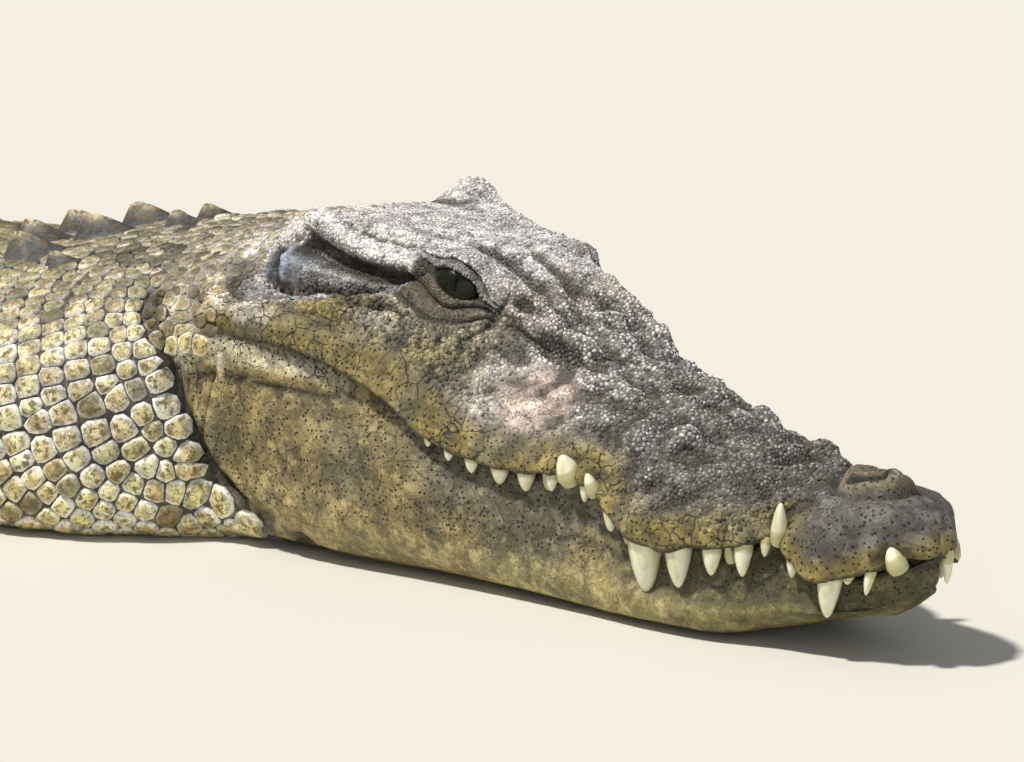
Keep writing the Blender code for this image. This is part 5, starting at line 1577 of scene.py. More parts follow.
# ---------------------------------------------------------------- camera, floor and light
def make_stage():
    bpy.ops.object.select_all(action="DESELECT")
    bpy.ops.mesh.primitive_plane_add(size=60, location=(0, 0, 0))
    floor = bpy.context.object
    floor.name = "studio_floor"
    material, _, surface = new_material("Pale floor", 0.9)
    surface.inputs["Base Color"].default_value = (0.60, 0.58, 0.53, 1)
    surface.inputs["Specular IOR Level"].default_value = 0.1
    floor.data.materials.append(material)
    world = bpy.data.worlds.new("Studio")
    bpy.context.scene.world = world
    world.use_nodes = True
    world.node_tree.nodes["Background"].inputs["Color"].default_value = (0.92, 0.95, 1.0, 1)
    world.node_tree.nodes["Background"].inputs["Strength"].default_value = 0.34


def add_light(name, towards, strength, angle, colour):
    """An even light from far away, soft at the edges of its shadows."""
    light = bpy.data.lights.new(name, "SUN")
    light.energy, light.angle, light.color = strength, angle, colour
    made = bpy.data.objects.new(name, light)
    made.rotation_euler = Vector(towards).to_track_quat("-Z", "Y").to_euler()
    bpy.context.scene.collection.objects.link(made)


CAMERA_PLACE = (1.9526, -2.4132, 0.5897)
CAMERA_BACK = (0.3351, -0.9217, 0.1956)  # the way from the head to the camera
CAMERA_TURN = math.radians(19.98)  # about the upright, from looking along +Y
CAMERA_SHIFT = (-0.03417, 0.01042)  # how far the view's middle lies to the right and up
CAMERA_LENS = 120.7


def make_lights_and_camera():
    add_light("key", (0.45, 0.52, -1.22), 4.3, 0.08, (1.0, 0.965, 0.90))
    add_light("fill", (-0.45, 0.90, -0.12), 0.75, 1.0, (0.96, 0.97, 1.0))
    camera = bpy.data.cameras.new("camera")
    camera.lens, camera.sensor_width = CAMERA_LENS, 36.0
    made = bpy.data.objects.new("camera", camera)
    bpy.context.scene.collection.objects.link(made)
    made.location = CAMERA_PLACE
    back = Vector(CAMERA_BACK)
    right = Vector((math.cos(CAMERA_TURN), math.sin(CAMERA_TURN), 0))
    up = back.cross(right)
    look = -back + CAMERA_SHIFT[0] * right + CAMERA_SHIFT[1] * up
    made.rotation_euler = look.to_track_quat("-Z", "Y").to_euler()
    camera.clip_start, camera.clip_end = 0.05, 100
    bpy.context.scene.camera = made


# ---------------------------------------------------------------- legs
def tube(points, sizes, sides):
    """A closed loft round a line of points, flattened on the floor; sizes are (half width, half height)."""
    points = [Vector(p) for p in points]
    rings = []
    for i, centre in enumerate(points):
        before, after = points[max(i - 1, 0)], points[min(i + 1, len(points) - 1)]
        axis = (after - before).normalized()
        across = axis.cross(Vector((0, 0, 1))).normalized()
        over = across.cross(axis).normalized()
        wide, high = map(float, sizes[i])
        for angle in np.linspace(0, 2 * math.pi, sides, endpoint=False):
            point = centre + wide * math.cos(angle) * across + high * math.sin(angle) * over
            rings.append((point.x, point.y, max(point.z, 0.0008)))
    faces = [
        (r * sides + i, r * sides + (i + 1) % sides, (r + 1) * sides + (i + 1) % sides, (r + 1) * sides + i)
        for r in range(len(points) - 1)
        for i in range(sides)
    ]
    last = (len(points) - 1) * sides
    faces += [tuple(reversed(range(sides))), tuple(range(last, last + sides))]
    mesh = bpy.data.meshes.new("tube")
    mesh.from_pydata(rings, [], faces)
    face_outwards(mesh)
    return mesh


def smooth_path(points, sizes, count):
    """Places and sizes read from a smooth line through the given ones."""
    knots, shares = np.linspace(0, 1, len(points)), np.linspace(0, 1, count)
    columns = np.concatenate([np.array(points, float), np.array(sizes, float)], 1)
    found = np.stack([Profile(*zip(knots, column))(shares) for column in columns.T], 1)
    return found[:, :3], found[:, 3:]


FRONT_DIGITS = (  # angle in degrees, reach, whether it has a claw
    (-46, 0.050, True), (-22, 0.066, True), (0, 0.070, True), (24, 0.062, False), (50, 0.050, False),
)
REAR_DIGITS = ((-30, 0.078, True), (-10, 0.112, True), (10, 0.118, True), (30, 0.096, False))
FRONT_PATH = (
    (0.400, 0.110, 0.115), (0.315, 0.225, 0.118), (0.215, 0.312, 0.092), (0.262, 0.378, 0.058),
    (0.330, 0.420, 0.034),
)
FRONT_SIZES = ((0.066, 0.074), (0.060, 0.064), (0.050, 0.050), (0.041, 0.038), (0.031, 0.027))
REAR_PATH = (
    (-0.410, 0.080, 0.130), (-0.350, 0.220, 0.142), (-0.285, 0.325, 0.112), (-0.335, 0.400, 0.070),
    (-0.395, 0.455, 0.040),
)
REAR_SIZES = ((0.098, 0.092), (0.090, 0.084), (0.066, 0.062), (0.050, 0.046), (0.036, 0.032))
LEGS = (  # path, sizes, heading, palm (length, half width, thickness), digits, radius
    (FRONT_PATH, FRONT_SIZES, math.radians(32), (0.075, 0.046, 0.034), FRONT_DIGITS, 0.0125),
    (REAR_PATH, REAR_SIZES, math.radians(46), (0.105, 0.052, 0.042), REAR_DIGITS, 0.0150),
)


def solid_union(base, others):
    for other in others:
        union = base.modifiers.new("union", "BOOLEAN")
        union.operation, union.object, union.solver = "UNION", other, "MANIFOLD"
        bpy.ops.object.select_all(action="DESELECT")
        bpy.context.view_layer.objects.active = base
        base.select_set(True)
        bpy.ops.object.modifier_apply(modifier=union.name)
        bpy.data.objects.remove(other)


def digit_line(front, heading, side, angle, reach, palm):
    """(root, direction, length) of a toe."""
    across = Vector((math.cos(heading), math.sin(heading), 0))
    sideways = across.cross(Vector((0, 0, 1)))
    turn = heading + side * math.radians(angle) * 0.72
    root = front - side * math.sin(math.radians(angle)) * palm[1] * 0.92 * sideways - across * 0.030
    return Vector((root.x, root.y, 0)), Vector((math.cos(turn), math.sin(turn), 0)), reach + 0.030


DIGIT_STAGES = (  # share of the length; width and height of the middle, as shares of the radius
    (0.0, 1.05, 0.85), (0.30, 0.92, 0.98), (0.50, 1.04, 1.12), (0.66, 0.84, 0.92), (0.82, 0.88, 0.92),
    (0.95, 0.66, 0.64), (1.01, 0.36, 0.52),
)


def make_leg(side, path, sizes, heading, palm, digits, radius):
    """One limb of skin, united from its lofts; also where its claws grow."""
    shrink = 0.0015
    points = [(x, side * y, z) for x, y, z in path]
    places, widths = smooth_path(points, sizes, 26)
    limb = add_object("limb", tube(places, widths - shrink, 24), HIDE)
    heading = side * heading
    across = Vector((math.cos(heading), math.sin(heading), 0))
    start = Vector(points[-1])
    front = Vector((start.x, start.y, 0)) + across * palm[0]
    _, wide, thick = palm
    stops = [start, start.lerp(front, 0.45) + Vector((0, 0, -0.002))]
    stops += [front + Vector((0, 0, thick * 0.42)), front + across * 0.012 + Vector((0, 0, thick * 0.30))]
    spans = [(wide * 0.62, start.z * 0.90), (wide * 0.92, thick * 0.80)]
    spans += [(wide, thick * 0.44), (wide * 0.72, thick * 0.26)]
    stops, spans = smooth_path(stops, np.array(spans) - 0.001, 12)
    pieces = [add_object("palm", tube(stops, spans, 24), HIDE)]
    claws = []
    for angle, reach, claw in digits:
        root, along, length = digit_line(front, heading, side, angle, reach, palm)
        line = [
            root + along * length * share + Vector((0, 0, radius * height))
            for share, _, height in DIGIT_STAGES
        ]
        spread = [(radius * size, radius * size * 0.84) for _, size, _ in DIGIT_STAGES]
        line, spread = smooth_path(line, spread, 16)
        pieces.append(add_object("digit", tube(line, spread, 14), HIDE))
        if claw:
            claws.append((root + along * length * 0.97 + Vector((0, 0, radius * 0.62)), along, radius))
    solid_union(limb, pieces)
    return limb, claws


def unite_legs(skin):
    """Joins the four limbs to the skin and smooths the creases between them; gives the claws' places."""
    claws, limbs = [], []
    for path, sizes, heading, palm, digits, radius in LEGS:
        for side in BOTH:
            limb, places = make_leg(side, path, sizes, heading, palm, digits, radius)
            claws += places
            limbs.append(limb)
            layer = limb.data.uv_layers.new(name="OFBake")
            spots = np.empty((len(limb.data.loops), 2))
            at = read_vectors(limb.data)[read(limb.data.loops, "vertex_index", kind=np.int32)]
            low, high = at.min(0), at.max(0)
            spots[:, 0] = 0.012 + 0.245 * (len(limbs) - 1) + 0.225 * (at[:, 0] - low[0]) / (high[0] - low[0])
            spots[:, 1] = 0.83 + 0.155 * (at[:, 1] - low[1]) / (high[1] - low[1])
            layer.data.foreach_set("uv", spots.ravel())
    before = tree_of(np.concatenate([read_vectors(each.data) for each in (skin, *limbs)]))
    solid_union(skin, limbs)
    while len(skin.data.materials) > 1:
        skin.data.materials.pop()
    skin.data.polygons.foreach_set("material_index", [0] * len(skin.data.polygons))
    points = read_vectors(skin.data)
    limb_zone = np.where((points[:, 0] < 0.5) & (points[:, 0] > -0.6) & (np.abs(points[:, 1]) > 0.08))[0]
    seam = [i for i in limb_zone if before.find(points[i])[2] > 1e-5]
    near = tree_of(points[seam])
    chosen = [int(i) for i in limb_zone if near.find(points[i])[2] < 0.024]
    work = bmesh.new()
    work.from_mesh(skin.data)
    work.verts.ensure_lookup_table()
    bmesh.ops.triangulate(work, faces=[f for f in work.faces if len(f.verts) > 4])
    work.verts.ensure_lookup_table()
    group = [work.verts[i] for i in chosen]
    for _ in range(8):
        bmesh.ops.smooth_vert(
            work, verts=group, factor=0.5, use_axis_x=True, use_axis_y=True, use_axis_z=True
        )
    for vert in group:
        vert.co.z = max(vert.co.z, LOWEST_SKIN)
    work.to_mesh(skin.data)
    work.free()
    return claws


# ---------------------------------------------------------------- where the scales grow
CREASE_AHEAD = Profile(  # the place of the fold behind the jaw, by height
    (0.000, 0.032), (0.026, -0.010), (0.054, -0.052), (0.101, -0.078), (0.133, -0.092), (0.153, -0.106),
    (0.170, -0.126), (0.190, -0.140), (0.240, -0.150),
)


SECTIONS_AT_ONCE = 150  # each block of this many makes a square table


def pair_section(stations, turns):
    """(outwards, up) for each pair of station and turn."""
    outwards, up = np.empty(len(stations)), np.empty(len(stations))
    for first in range(0, len(stations), SECTIONS_AT_ONCE):
        part = slice(first, first + SECTIONS_AT_ONCE)
        o, u = half_section(stations[part], turns[part], False)
        ol, ul = half_section(stations[part], turns[part], True)
        low = turns[part] > 0.5
        outwards[part] = np.where(low, np.diagonal(ol), np.diagonal(o))
        up[part] = np.where(low, np.diagonal(ul), np.diagonal(u))
    return outwards, up


def on_body(stations, turns, sides):
    """Straightened points at the stations and turns."""
    outwards, up = pair_section(stations, turns)
    points = np.stack([HEAD_LENGTH - stations, outwards * sides, up], 1)
    return np.stack(swell(*points.T), 1)


def bent(points):
    """Straightened points in the world."""
    points = true_head(points)
    return place(HEAD_LENGTH - points[:, 0], points[:, 1], points[:, 2])


class Skin:
    """The finished skin, for finding the places and the bake spots of the coat's roots."""

    def __init__(self, obj):
        mesh = obj.data
        self.points = read_vectors(mesh)
        self.relief = relief_of(mesh)
        faces = [tuple(face.vertices) for face in mesh.polygons]
        self.tree = BVHTree.FromPolygons([tuple(point) for point in self.points], faces)
        starts = read(mesh.polygons, "loop_start", kind=np.int32)
        self.corner = read(mesh.loops, "vertex_index", kind=np.int32)[starts]
        self.spots = read(mesh.uv_layers["OFBake"].data, "uv", 2)[starts]

    def drop(self, points, reach=0.05):
        """(places, normals, faces) of the nearest skin to each point; a face is -1 where none is near."""
        places, normals = np.array(points, float), np.zeros((len(points), 3))
        faces = np.full(len(points), -1)
        for i, point in enumerate(points):
            at, normal, face, _ = self.tree.find_nearest(point, reach)
            if at is not None:
                places[i], normals[i], faces[i] = at, normal, face
        return places, normals, faces


class Seeds:
    """Roots of scales, gathered before the scales are shaped so that neighbours share their borders."""

    def __init__(self):
        self.rows = []

    def add(self, points, along, group, reach, height):
        """points and along (the way to the snout) are in the world; the rest is one value or one each."""
        groups, ones = np.full(len(points), group), np.ones(len(points))
        self.rows.append((np.asarray(points), np.asarray(along), groups, reach * ones, height * ones))

    def gather(self):
        return [np.concatenate(column) for column in zip(*self.rows)]

    def clear_under(self, rows):
        """Takes away the seeds under scutes, whose rows are (straightened place, length, width, height)."""
        for number, row in enumerate(self.rows):
            straight = straighten(row[0])
            keep = np.ones(len(straight), bool)
            for spot, length, width, _ in rows:
                gap = straight - spot
                over = np.hypot(gap[:, 1], 0.8 * gap[:, 2])
                keep &= np.hypot(gap[:, 0] / (0.47 * length), over / (0.45 * width)) > 1
            self.rows[number] = tuple(column[keep] for column in row)

    def placed(self):
        return np.concatenate([row[0] for row in self.rows]) if self.rows else np.zeros((0, 3))


def body_along(stations):
    """The way to the snout at each station, in the world."""
    heading = HEADING(stations)
    return np.stack([np.cos(heading), np.sin(heading), 0 * heading], 1)


def clear_of(points, others, reach):
    """Which points are further than reach from all the others."""
    if not len(others):
        return np.ones(len(points), bool)
    tree = tree_of(others)
    reach = reach * np.ones(len(points))
    return np.array([tree.find(point)[2] > far for point, far in zip(points, reach)])


def thin_out(points, reach):
    """Picks points in order so that none is within reach of another; gives their numbers."""
    cell = float(np.max(reach))
    reach = reach * np.ones(len(points))
    grid, chosen = {}, []
    steps = list(itertools.product((-1, 0, 1), repeat=3))
    for i, point in enumerate(points):
        key = tuple(int(c) for c in point // cell)
        limit = reach[i] ** 2
        free = True
        for step in steps:
            for other in grid.get((key[0] + step[0], key[1] + step[1], key[2] + step[2]), ()):
                gap = point - other
                if gap[0] * gap[0] + gap[1] * gap[1] + gap[2] * gap[2] < limit:
                    free = False
                    break
            if not free:
                break
        if free:
            grid.setdefault(key, []).append(point)
            chosen.append(i)
    return np.array(chosen, int)


def row_seeds(rng, station, shift, spacing, top, offset, jitter=0.05):
    """(stations, turns) along one row round the body, from the turn of its top down to the belly.

    shift moves the row with height, spacing(turns) parts its scales."""
    turns = np.linspace(top, 1.0, 160)
    stations = np.full(len(turns), station)
    for _ in range(3):
        outwards, up = pair_section(stations, turns)
        stations = station + shift(up)
    outwards, up = pair_section(stations, turns)
    points = np.stack([-stations, outwards, up], 1)
    steps = np.linalg.norm(np.diff(points, axis=0), axis=1) / spacing((turns[1:] + turns[:-1]) / 2)
    count = np.concatenate([[0], np.cumsum(steps)])
    places = np.arange(offset, count[-1], 1.0)
    places = places + jitter * rng.normal(size=len(places))
    found = np.interp(places, count, turns)
    return np.interp(found, turns, stations) + jitter * 0.016 * rng.normal(size=len(places)), found


NUCHAL = (  # ahead, outwards, length, width, height of the big keeled scutes of the neck
    (-0.222, 0.021, 0.040, 0.034, 0.015), (-0.292, 0.032, 0.058, 0.048, 0.022),
    (-0.352, 0.032, 0.054, 0.046, 0.019), (-0.322, 0.088, 0.058, 0.044, 0.022),
    (-0.272, 0.116, 0.034, 0.026, 0.011),
)


def back_scutes():
    """(station, outwards along the skin, length, width, height) of the scutes in rows on the back."""
    rows = []
    for k in range(17):
        station = 1.035 + 0.0605 * k
        spread = float(np.interp(station, (1.03, 1.25, 1.8, 2.04), (0.80, 1.0, 1.0, 0.72)))
        for column in range(4):
            if column == 3 and not 3 <= k <= 13:
                continue
            across = (0.026 + 0.052 * column) * spread
            height = (0.012, 0.011, 0.009, 0.007)[column]
            rows.append((station + 0.006 * (column % 2), across, 0.056, 0.047 * spread, height))
    for k in range(int((3.02 - 2.07) / 0.066)):
        station = 2.085 + 0.066 * k
        spread = float(np.interp(station, (2.07, 3.0), (0.72, 0.36)))
        rows.append((station, 0.024 * spread, 0.054, 0.040 * spread, 0.005))
    return rows


def turn_across(station, across):
    """The turn that lies the given distance from the crown, along the skin."""
    turns = np.linspace(0, 0.5, 120)
    outwards, up = half_section(np.array([station]), turns)
    far = np.concatenate([[0], np.cumsum(np.hypot(np.diff(outwards[0]), np.diff(up[0])))])
    return float(np.interp(across, far, turns))


def body_rows():
    """(station, width) of the rows of scales, narrow behind the jaw."""
    widths = [0.010, 0.014, 0.019, 0.024, 0.027, 0.028]
    places, broad = (1.1, 1.5, 2.0, 2.4, 3.3, 4.0), (0.026, 0.031, 0.031, 0.030, 0.030, 0.022)
    rows = []
    at, station = -0.006, 0.0
    while station <= TOTAL_LENGTH - 0.03:
        width = widths[len(rows)] if len(rows) < len(widths) else 0.0275
        station = HEAD_LENGTH + 0.086 + at + width / 2
        if station > 1.1:
            width = float(np.interp(station, places, broad))
        rows.append((station, width))
        at += width
    return rows


def scale_heights(stations, turns, size):
    """How high the scales of the body stand."""
    on_neck = np.interp(turns, (0.2, 0.6, 1.0), (0.0034, 0.0036, 0.0018))
    behind = np.interp(turns, (0, 0.5, 0.7), (0.0034, 0.0028, 0.0012))
    return np.where(stations < 1.0, on_neck, behind) * np.clip(size / 0.018, 0.5, 1.15)


def body_seeds(seeds, rng):
    """Rows of scales from the fold behind the jaw to the tip of the tail."""
    station_rows = body_rows()
    for side in BOTH:
        for k, (station, width) in enumerate(station_rows):
            fading = float(smooth_step(1.06, 0.72, station))

            def shift(up):
                return -(CREASE_AHEAD(up) - CREASE_AHEAD(0.12)) * fading

            def spacing(turns):
                neck = np.interp(turns, (0.15, 0.30, 0.5, 0.75, 1.0), (0.0110, 0.0140, 0.0175, 0.0200, 0.024))
                trunk = (0.017, 0.019, 0.024, 0.028, 0.036, 0.036)
                trunk = np.interp(turns, (0.0, 0.25, 0.5, 0.62, 0.8, 1.0), trunk)
                tail = np.interp(turns, (0.0, 0.4, 0.7, 1.0), (0.024, 0.030, 0.034, 0.036))
                a = float(smooth_step(0.92, 1.12, station))
                b = float(smooth_step(2.0, 2.3, station))
                girth = float(HALF_WIDTH(station)) / 0.158
                return (1 - a) * neck + a * ((1 - b) * trunk + b * tail * min(1.0, 0.35 + 0.65 * girth))

            tops = (0.27, 0.20, 0.17, 0.15, 0.10, 0.02)
            top = float(np.interp(station, (0.60, 0.70, 0.95, 1.05, 2.1, 4.0), tops))
            stations, turns = row_seeds(rng, station, shift, spacing, top, (0.15 + 0.5 * (k % 2)) * 0.9)
            keep = (stations < TOTAL_LENGTH - 0.01) & (stations > 0.52)
            stations, turns = stations[keep], turns[keep]
            straight = on_body(stations, turns, side)
            if side > 0:  # one scale on the middle of the belly is enough
                keep = np.abs(straight[:, 1]) > 0.012
                straight, stations, turns = straight[keep], stations[keep], turns[keep]
            size = np.maximum(width, spacing(turns))
            neck, tail = stations < 1.0, stations >= VENT_STATION
            height = scale_heights(stations, turns, size)
            for name, part in (("neck", neck), ("trunk", ~(neck | tail)), ("tail", tail)):
                if part.any():
                    world, along = bent(straight[part]), body_along(stations[part])
                    seeds.add(world, along, name, 0.62 * size[part], height[part])


def scatter_seeds(seeds, rng, stations, turns, spacing, group, height):
    """Irregular bumps over the neck or back, picked from random stations and turns."""
    side = rng.choice(BOTH, len(stations))
    straight = on_body(stations, turns, side)
    world = bent(straight)
    taken = seeds.placed()
    near = taken[np.abs(taken[:, 0] - world[:, 0].mean()) < np.ptp(world[:, 0]) / 2 + 0.05]
    free = clear_of(world, near, spacing * 0.92)
    world, spacing, stations = world[free], spacing[free], stations[free]
    chosen = thin_out(world, spacing)
    size = spacing[chosen]
    seeds.add(world[chosen], body_along(stations[chosen]), group, 0.66 * size, height * size)


def limb_seeds(seeds, rng, skin, mesh):
    """Scales over the legs, smaller towards the toes."""
    centres, areas = read(mesh.polygons, "center", 3), read(mesh.polygons, "area")
    straight = straighten(centres)
    outwards = HALF_WIDTH(HEAD_LENGTH - straight[:, 0])
    legs = (np.abs(straight[:, 1]) > outwards + 0.012) & (centres[:, 0] > -0.65) & (centres[:, 0] < 0.56)
    legs &= centres[:, 2] > 0.003
    where = np.where(legs)[0]
    share = areas[where] / areas[where].sum()
    picked = where[np.searchsorted(np.cumsum(share), rng.random(52000) * 0.999999)]
    faces = [mesh.polygons[i].vertices[:] for i in picked]
    corners = np.array([[skin.points[f[0]], skin.points[f[1]], skin.points[f[2]]] for f in faces])
    mixes = rng.dirichlet((1, 1, 1), len(picked))
    points = (corners * mixes[:, :, None]).sum(1)
    out = np.abs(points[:, 1])
    front = points[:, 0] > 0
    foot = np.where(front, points[:, 0] > 0.335, (points[:, 0] > -0.40) & (out > 0.47))
    toes = np.where(front, points[:, 0] > 0.385, points[:, 0] > -0.335) & foot
    spacing = np.where(toes, 0.0068, np.where(foot, 0.0080, np.where(out > 0.34, 0.0115, 0.0150)))
    spacing = np.where(points[:, 2] < 0.012, spacing * 0.9, spacing)
    taken = seeds.placed()
    free = clear_of(points, taken[(taken[:, 0] > -0.7) & (taken[:, 0] < 0.6)], spacing * 0.85)
    points, spacing = points[free], spacing[free]
    chosen = thin_out(points, spacing)
    along = np.tile((1.0, 0.0, 0.0), (len(chosen), 1))
    seeds.add(points[chosen], along, "legs", 0.66 * spacing[chosen], 0.16 * spacing[chosen])


def faces_of(mesh):
    """The corners of every face, four each (a triangle's last one twice), and its area."""
    starts, totals = (read(mesh.polygons, name, kind=np.int32) for name in ("loop_start", "loop_total"))
    steps = np.minimum(np.arange(4)[None], totals[:, None] - 1)
    corners = read(mesh.loops, "vertex_index", kind=np.int32)[starts[:, None] + steps]
    return corners, read(mesh.polygons, "area")


def random_places(points, corners, areas, chosen, count, rng):
    """Places picked at random over the chosen faces."""
    numbers = np.where(chosen)[0]
    share = np.cumsum(areas[numbers])
    found = np.searchsorted(share, rng.random(count) * share[-1])
    picked = corners[numbers[np.minimum(found, len(numbers) - 1)]]
    u, v = rng.random((count, 1)), rng.random((count, 1))
    a, b, c, d = (points[picked[:, k]] for k in range(4))
    return (1 - u) * (1 - v) * a + u * (1 - v) * b + u * v * c + (1 - u) * v * d


def on_eye(points, margin):
    """Whether straightened points lie in the opening of an eye or within the margin of it."""
    along, up, out = eye_frame(points)
    inside = (along > -0.0165) & (along < 0.0360) & (out > -0.012)
    return inside & (up < UPPER_EDGE(along) + margin) & (up > LOWER_EDGE(along) - margin)


def head_seeds(seeds, rng, mesh, points, rest):
    """Granules over the snout, brows, cheeks and lids, and scales behind them.

    points are the skin's vertices in the world and rest the same ones straightened."""
    corners, areas = faces_of(mesh)
    middles = rest[corners].mean(1)
    ahead, _, up = middles.T
    head = (ahead > -0.150) & (up > 0.004) & (ahead > CREASE_AHEAD(up) - 0.004)
    head &= (np.abs(up - LIP_HEIGHT(ahead) + 0.004) > 0.004) | (ahead < -0.06)
    world = random_places(points, corners, areas, head, 420000, rng)
    spots = straighten(world)
    where = zones(spots)
    ahead, out, up = mirrored(spots).T
    over_lip = where["over_lip"]
    ragged = clouds(spots, 0.016, 71)
    fine = clouds(spots, 0.007, 72)
    lids = lid_places(spots)[0]
    ear, _ = line_distance(mirrored(spots), FOLDS["ear_lid"][0])
    shut_out = on_eye(spots, 0.0012) | (np.abs(over_lip + 0.004) < 0.0045) & (ahead > -0.06)
    lower = where["jaw"] > 0.5
    rose = np.linalg.norm(mirrored(spots) - ROSE_PLACE, axis=1) + 0.008 * ragged < 0.030
    band = (0.020, 0.028, 0.038, 0.034, 0.030, 0.016, 0.016, 0.020)
    lip_top = np.interp(ahead, (-0.05, 0.05, 0.12, 0.20, 0.27, 0.33, 0.45, 0.56), band)
    plates = (~lower) & (over_lip < lip_top + 0.008 * ragged) | rose
    bare = (ear < 0.0155) & (ahead < 0.0) | (ahead > 0.45) & (out < 0.026) & (up > 0.105)
    bulk = ~(shut_out | (lids > 0.3) | bare)
    snout = where["snout"] + 0.25 * fine > 0.5
    snout |= (ahead > 0.40) & (~lower)
    snout &= ahead - 0.5 * np.clip(up - 0.10, 0, 0.1) < 0.462 + 0.012 * ragged
    cheek = (~snout) & (where["top"] < 0.5) & (up < 0.196) & (ahead < 0.20) & (ahead > -0.06)
    rear = (ahead < -0.045) & (over_lip > -0.01)
    upper = bulk & ~plates & ~lower
    zone_rows = (  # group, where, spacing, stretch upwards, height as a share of the spacing
        ("rear", bulk & rear, 0.0098, 1.0, 0.24),
        ("snout", upper & snout, 0.0025, 1.0, 0.24),
        ("cheek", upper & cheek & ~rear, 0.0027, 0.50, 0.26),
        ("table", upper & ~snout & ~cheek & ~rear & (ahead < 0.40), 0.0023, 1.0, 0.19),
        ("lids", (lids > 0.3) & ~shut_out, 0.0018, 1.0, 0.20),
    )
    for group, chosen, spacing, stretch, height in zone_rows:
        part = world[chosen]
        taken = seeds.placed()
        taken = taken[(taken[:, 0] > points[:, 0].max() - 0.95)]
        part = part[clear_of(part, taken, 0.55 * spacing + 0.0002)]
        picked = thin_out(part * (1, 1, stretch), spacing)
        spots_here = part[picked]
        along = body_along(HEAD_LENGTH - straighten(spots_here)[:, 0])
        wide = 1.10 if group == "cheek" else 0.80
        seeds.add(spots_here, along, group, spacing * wide, height * spacing)


# ---------------------------------------------------------------- the scales themselves
NEIGHBOURS = 12
ANGLES = np.linspace(0, 2 * math.pi, 12, endpoint=False)  # the directions a scale is measured in


def cell_radii(points, first, second, reach, gap):
    """How far each scale reaches in each direction before it meets its neighbours' share."""
    tree = tree_of(points)
    radii = np.empty((len(points), len(ANGLES)))
    ways = np.stack([np.cos(ANGLES), np.sin(ANGLES)], 1)
    for i, point in enumerate(points):
        others = [j for _, j, _ in tree.find_n(point, NEIGHBOURS + 1) if j != i]
        gaps = points[others] - point
        flat = np.stack([gaps @ first[i], gaps @ second[i]], 1)
        square = (gaps * gaps).sum(1)
        length = np.maximum(np.hypot(flat[:, 0], flat[:, 1]), 1e-6)
        flat = flat * (np.sqrt(square) / length)[:, None]
        share = reach[others] / (reach[others] + reach[i])
        towards = flat @ ways.T
        limit = (1 - share)[:, None] * square[:, None] / np.maximum(towards, 1e-6)
        limit = np.where(towards > 1e-6, limit, 9.0)
        soft = (np.minimum(limit, 1.0) ** -11.0).sum(0) + (reach[i] * 1.35) ** -11.0
        radii[i] = soft ** (-1 / 11.0) - gap[i]
    return np.maximum(radii, 0.0012)


GRANULAR = ("snout", "cheek", "table", "lids")
# each ring of a scale: share of the radius, how far it is sunk, share of the height
RINGS = ((1.0, -0.0008, 0.0), (0.94, 0.0, 0.66), (0.66, 0.0, 0.98))
GRAIN_RINGS = ((1.0, -0.0005, 0.0), (0.78, 0.0, 0.74))
TONE_SPREAD = {
    "snout": 0.34, "table": 0.22, "cheek": 0.28, "lids": 0.22, "neck": 0.17, "nape": 0.30, "rear": 0.25,
}
DARK_SHARE = {"snout": 0.20, "table": 0.12, "cheek": 0.16, "lids": 0.08, "rear": 0.10, "nape": 0.12}


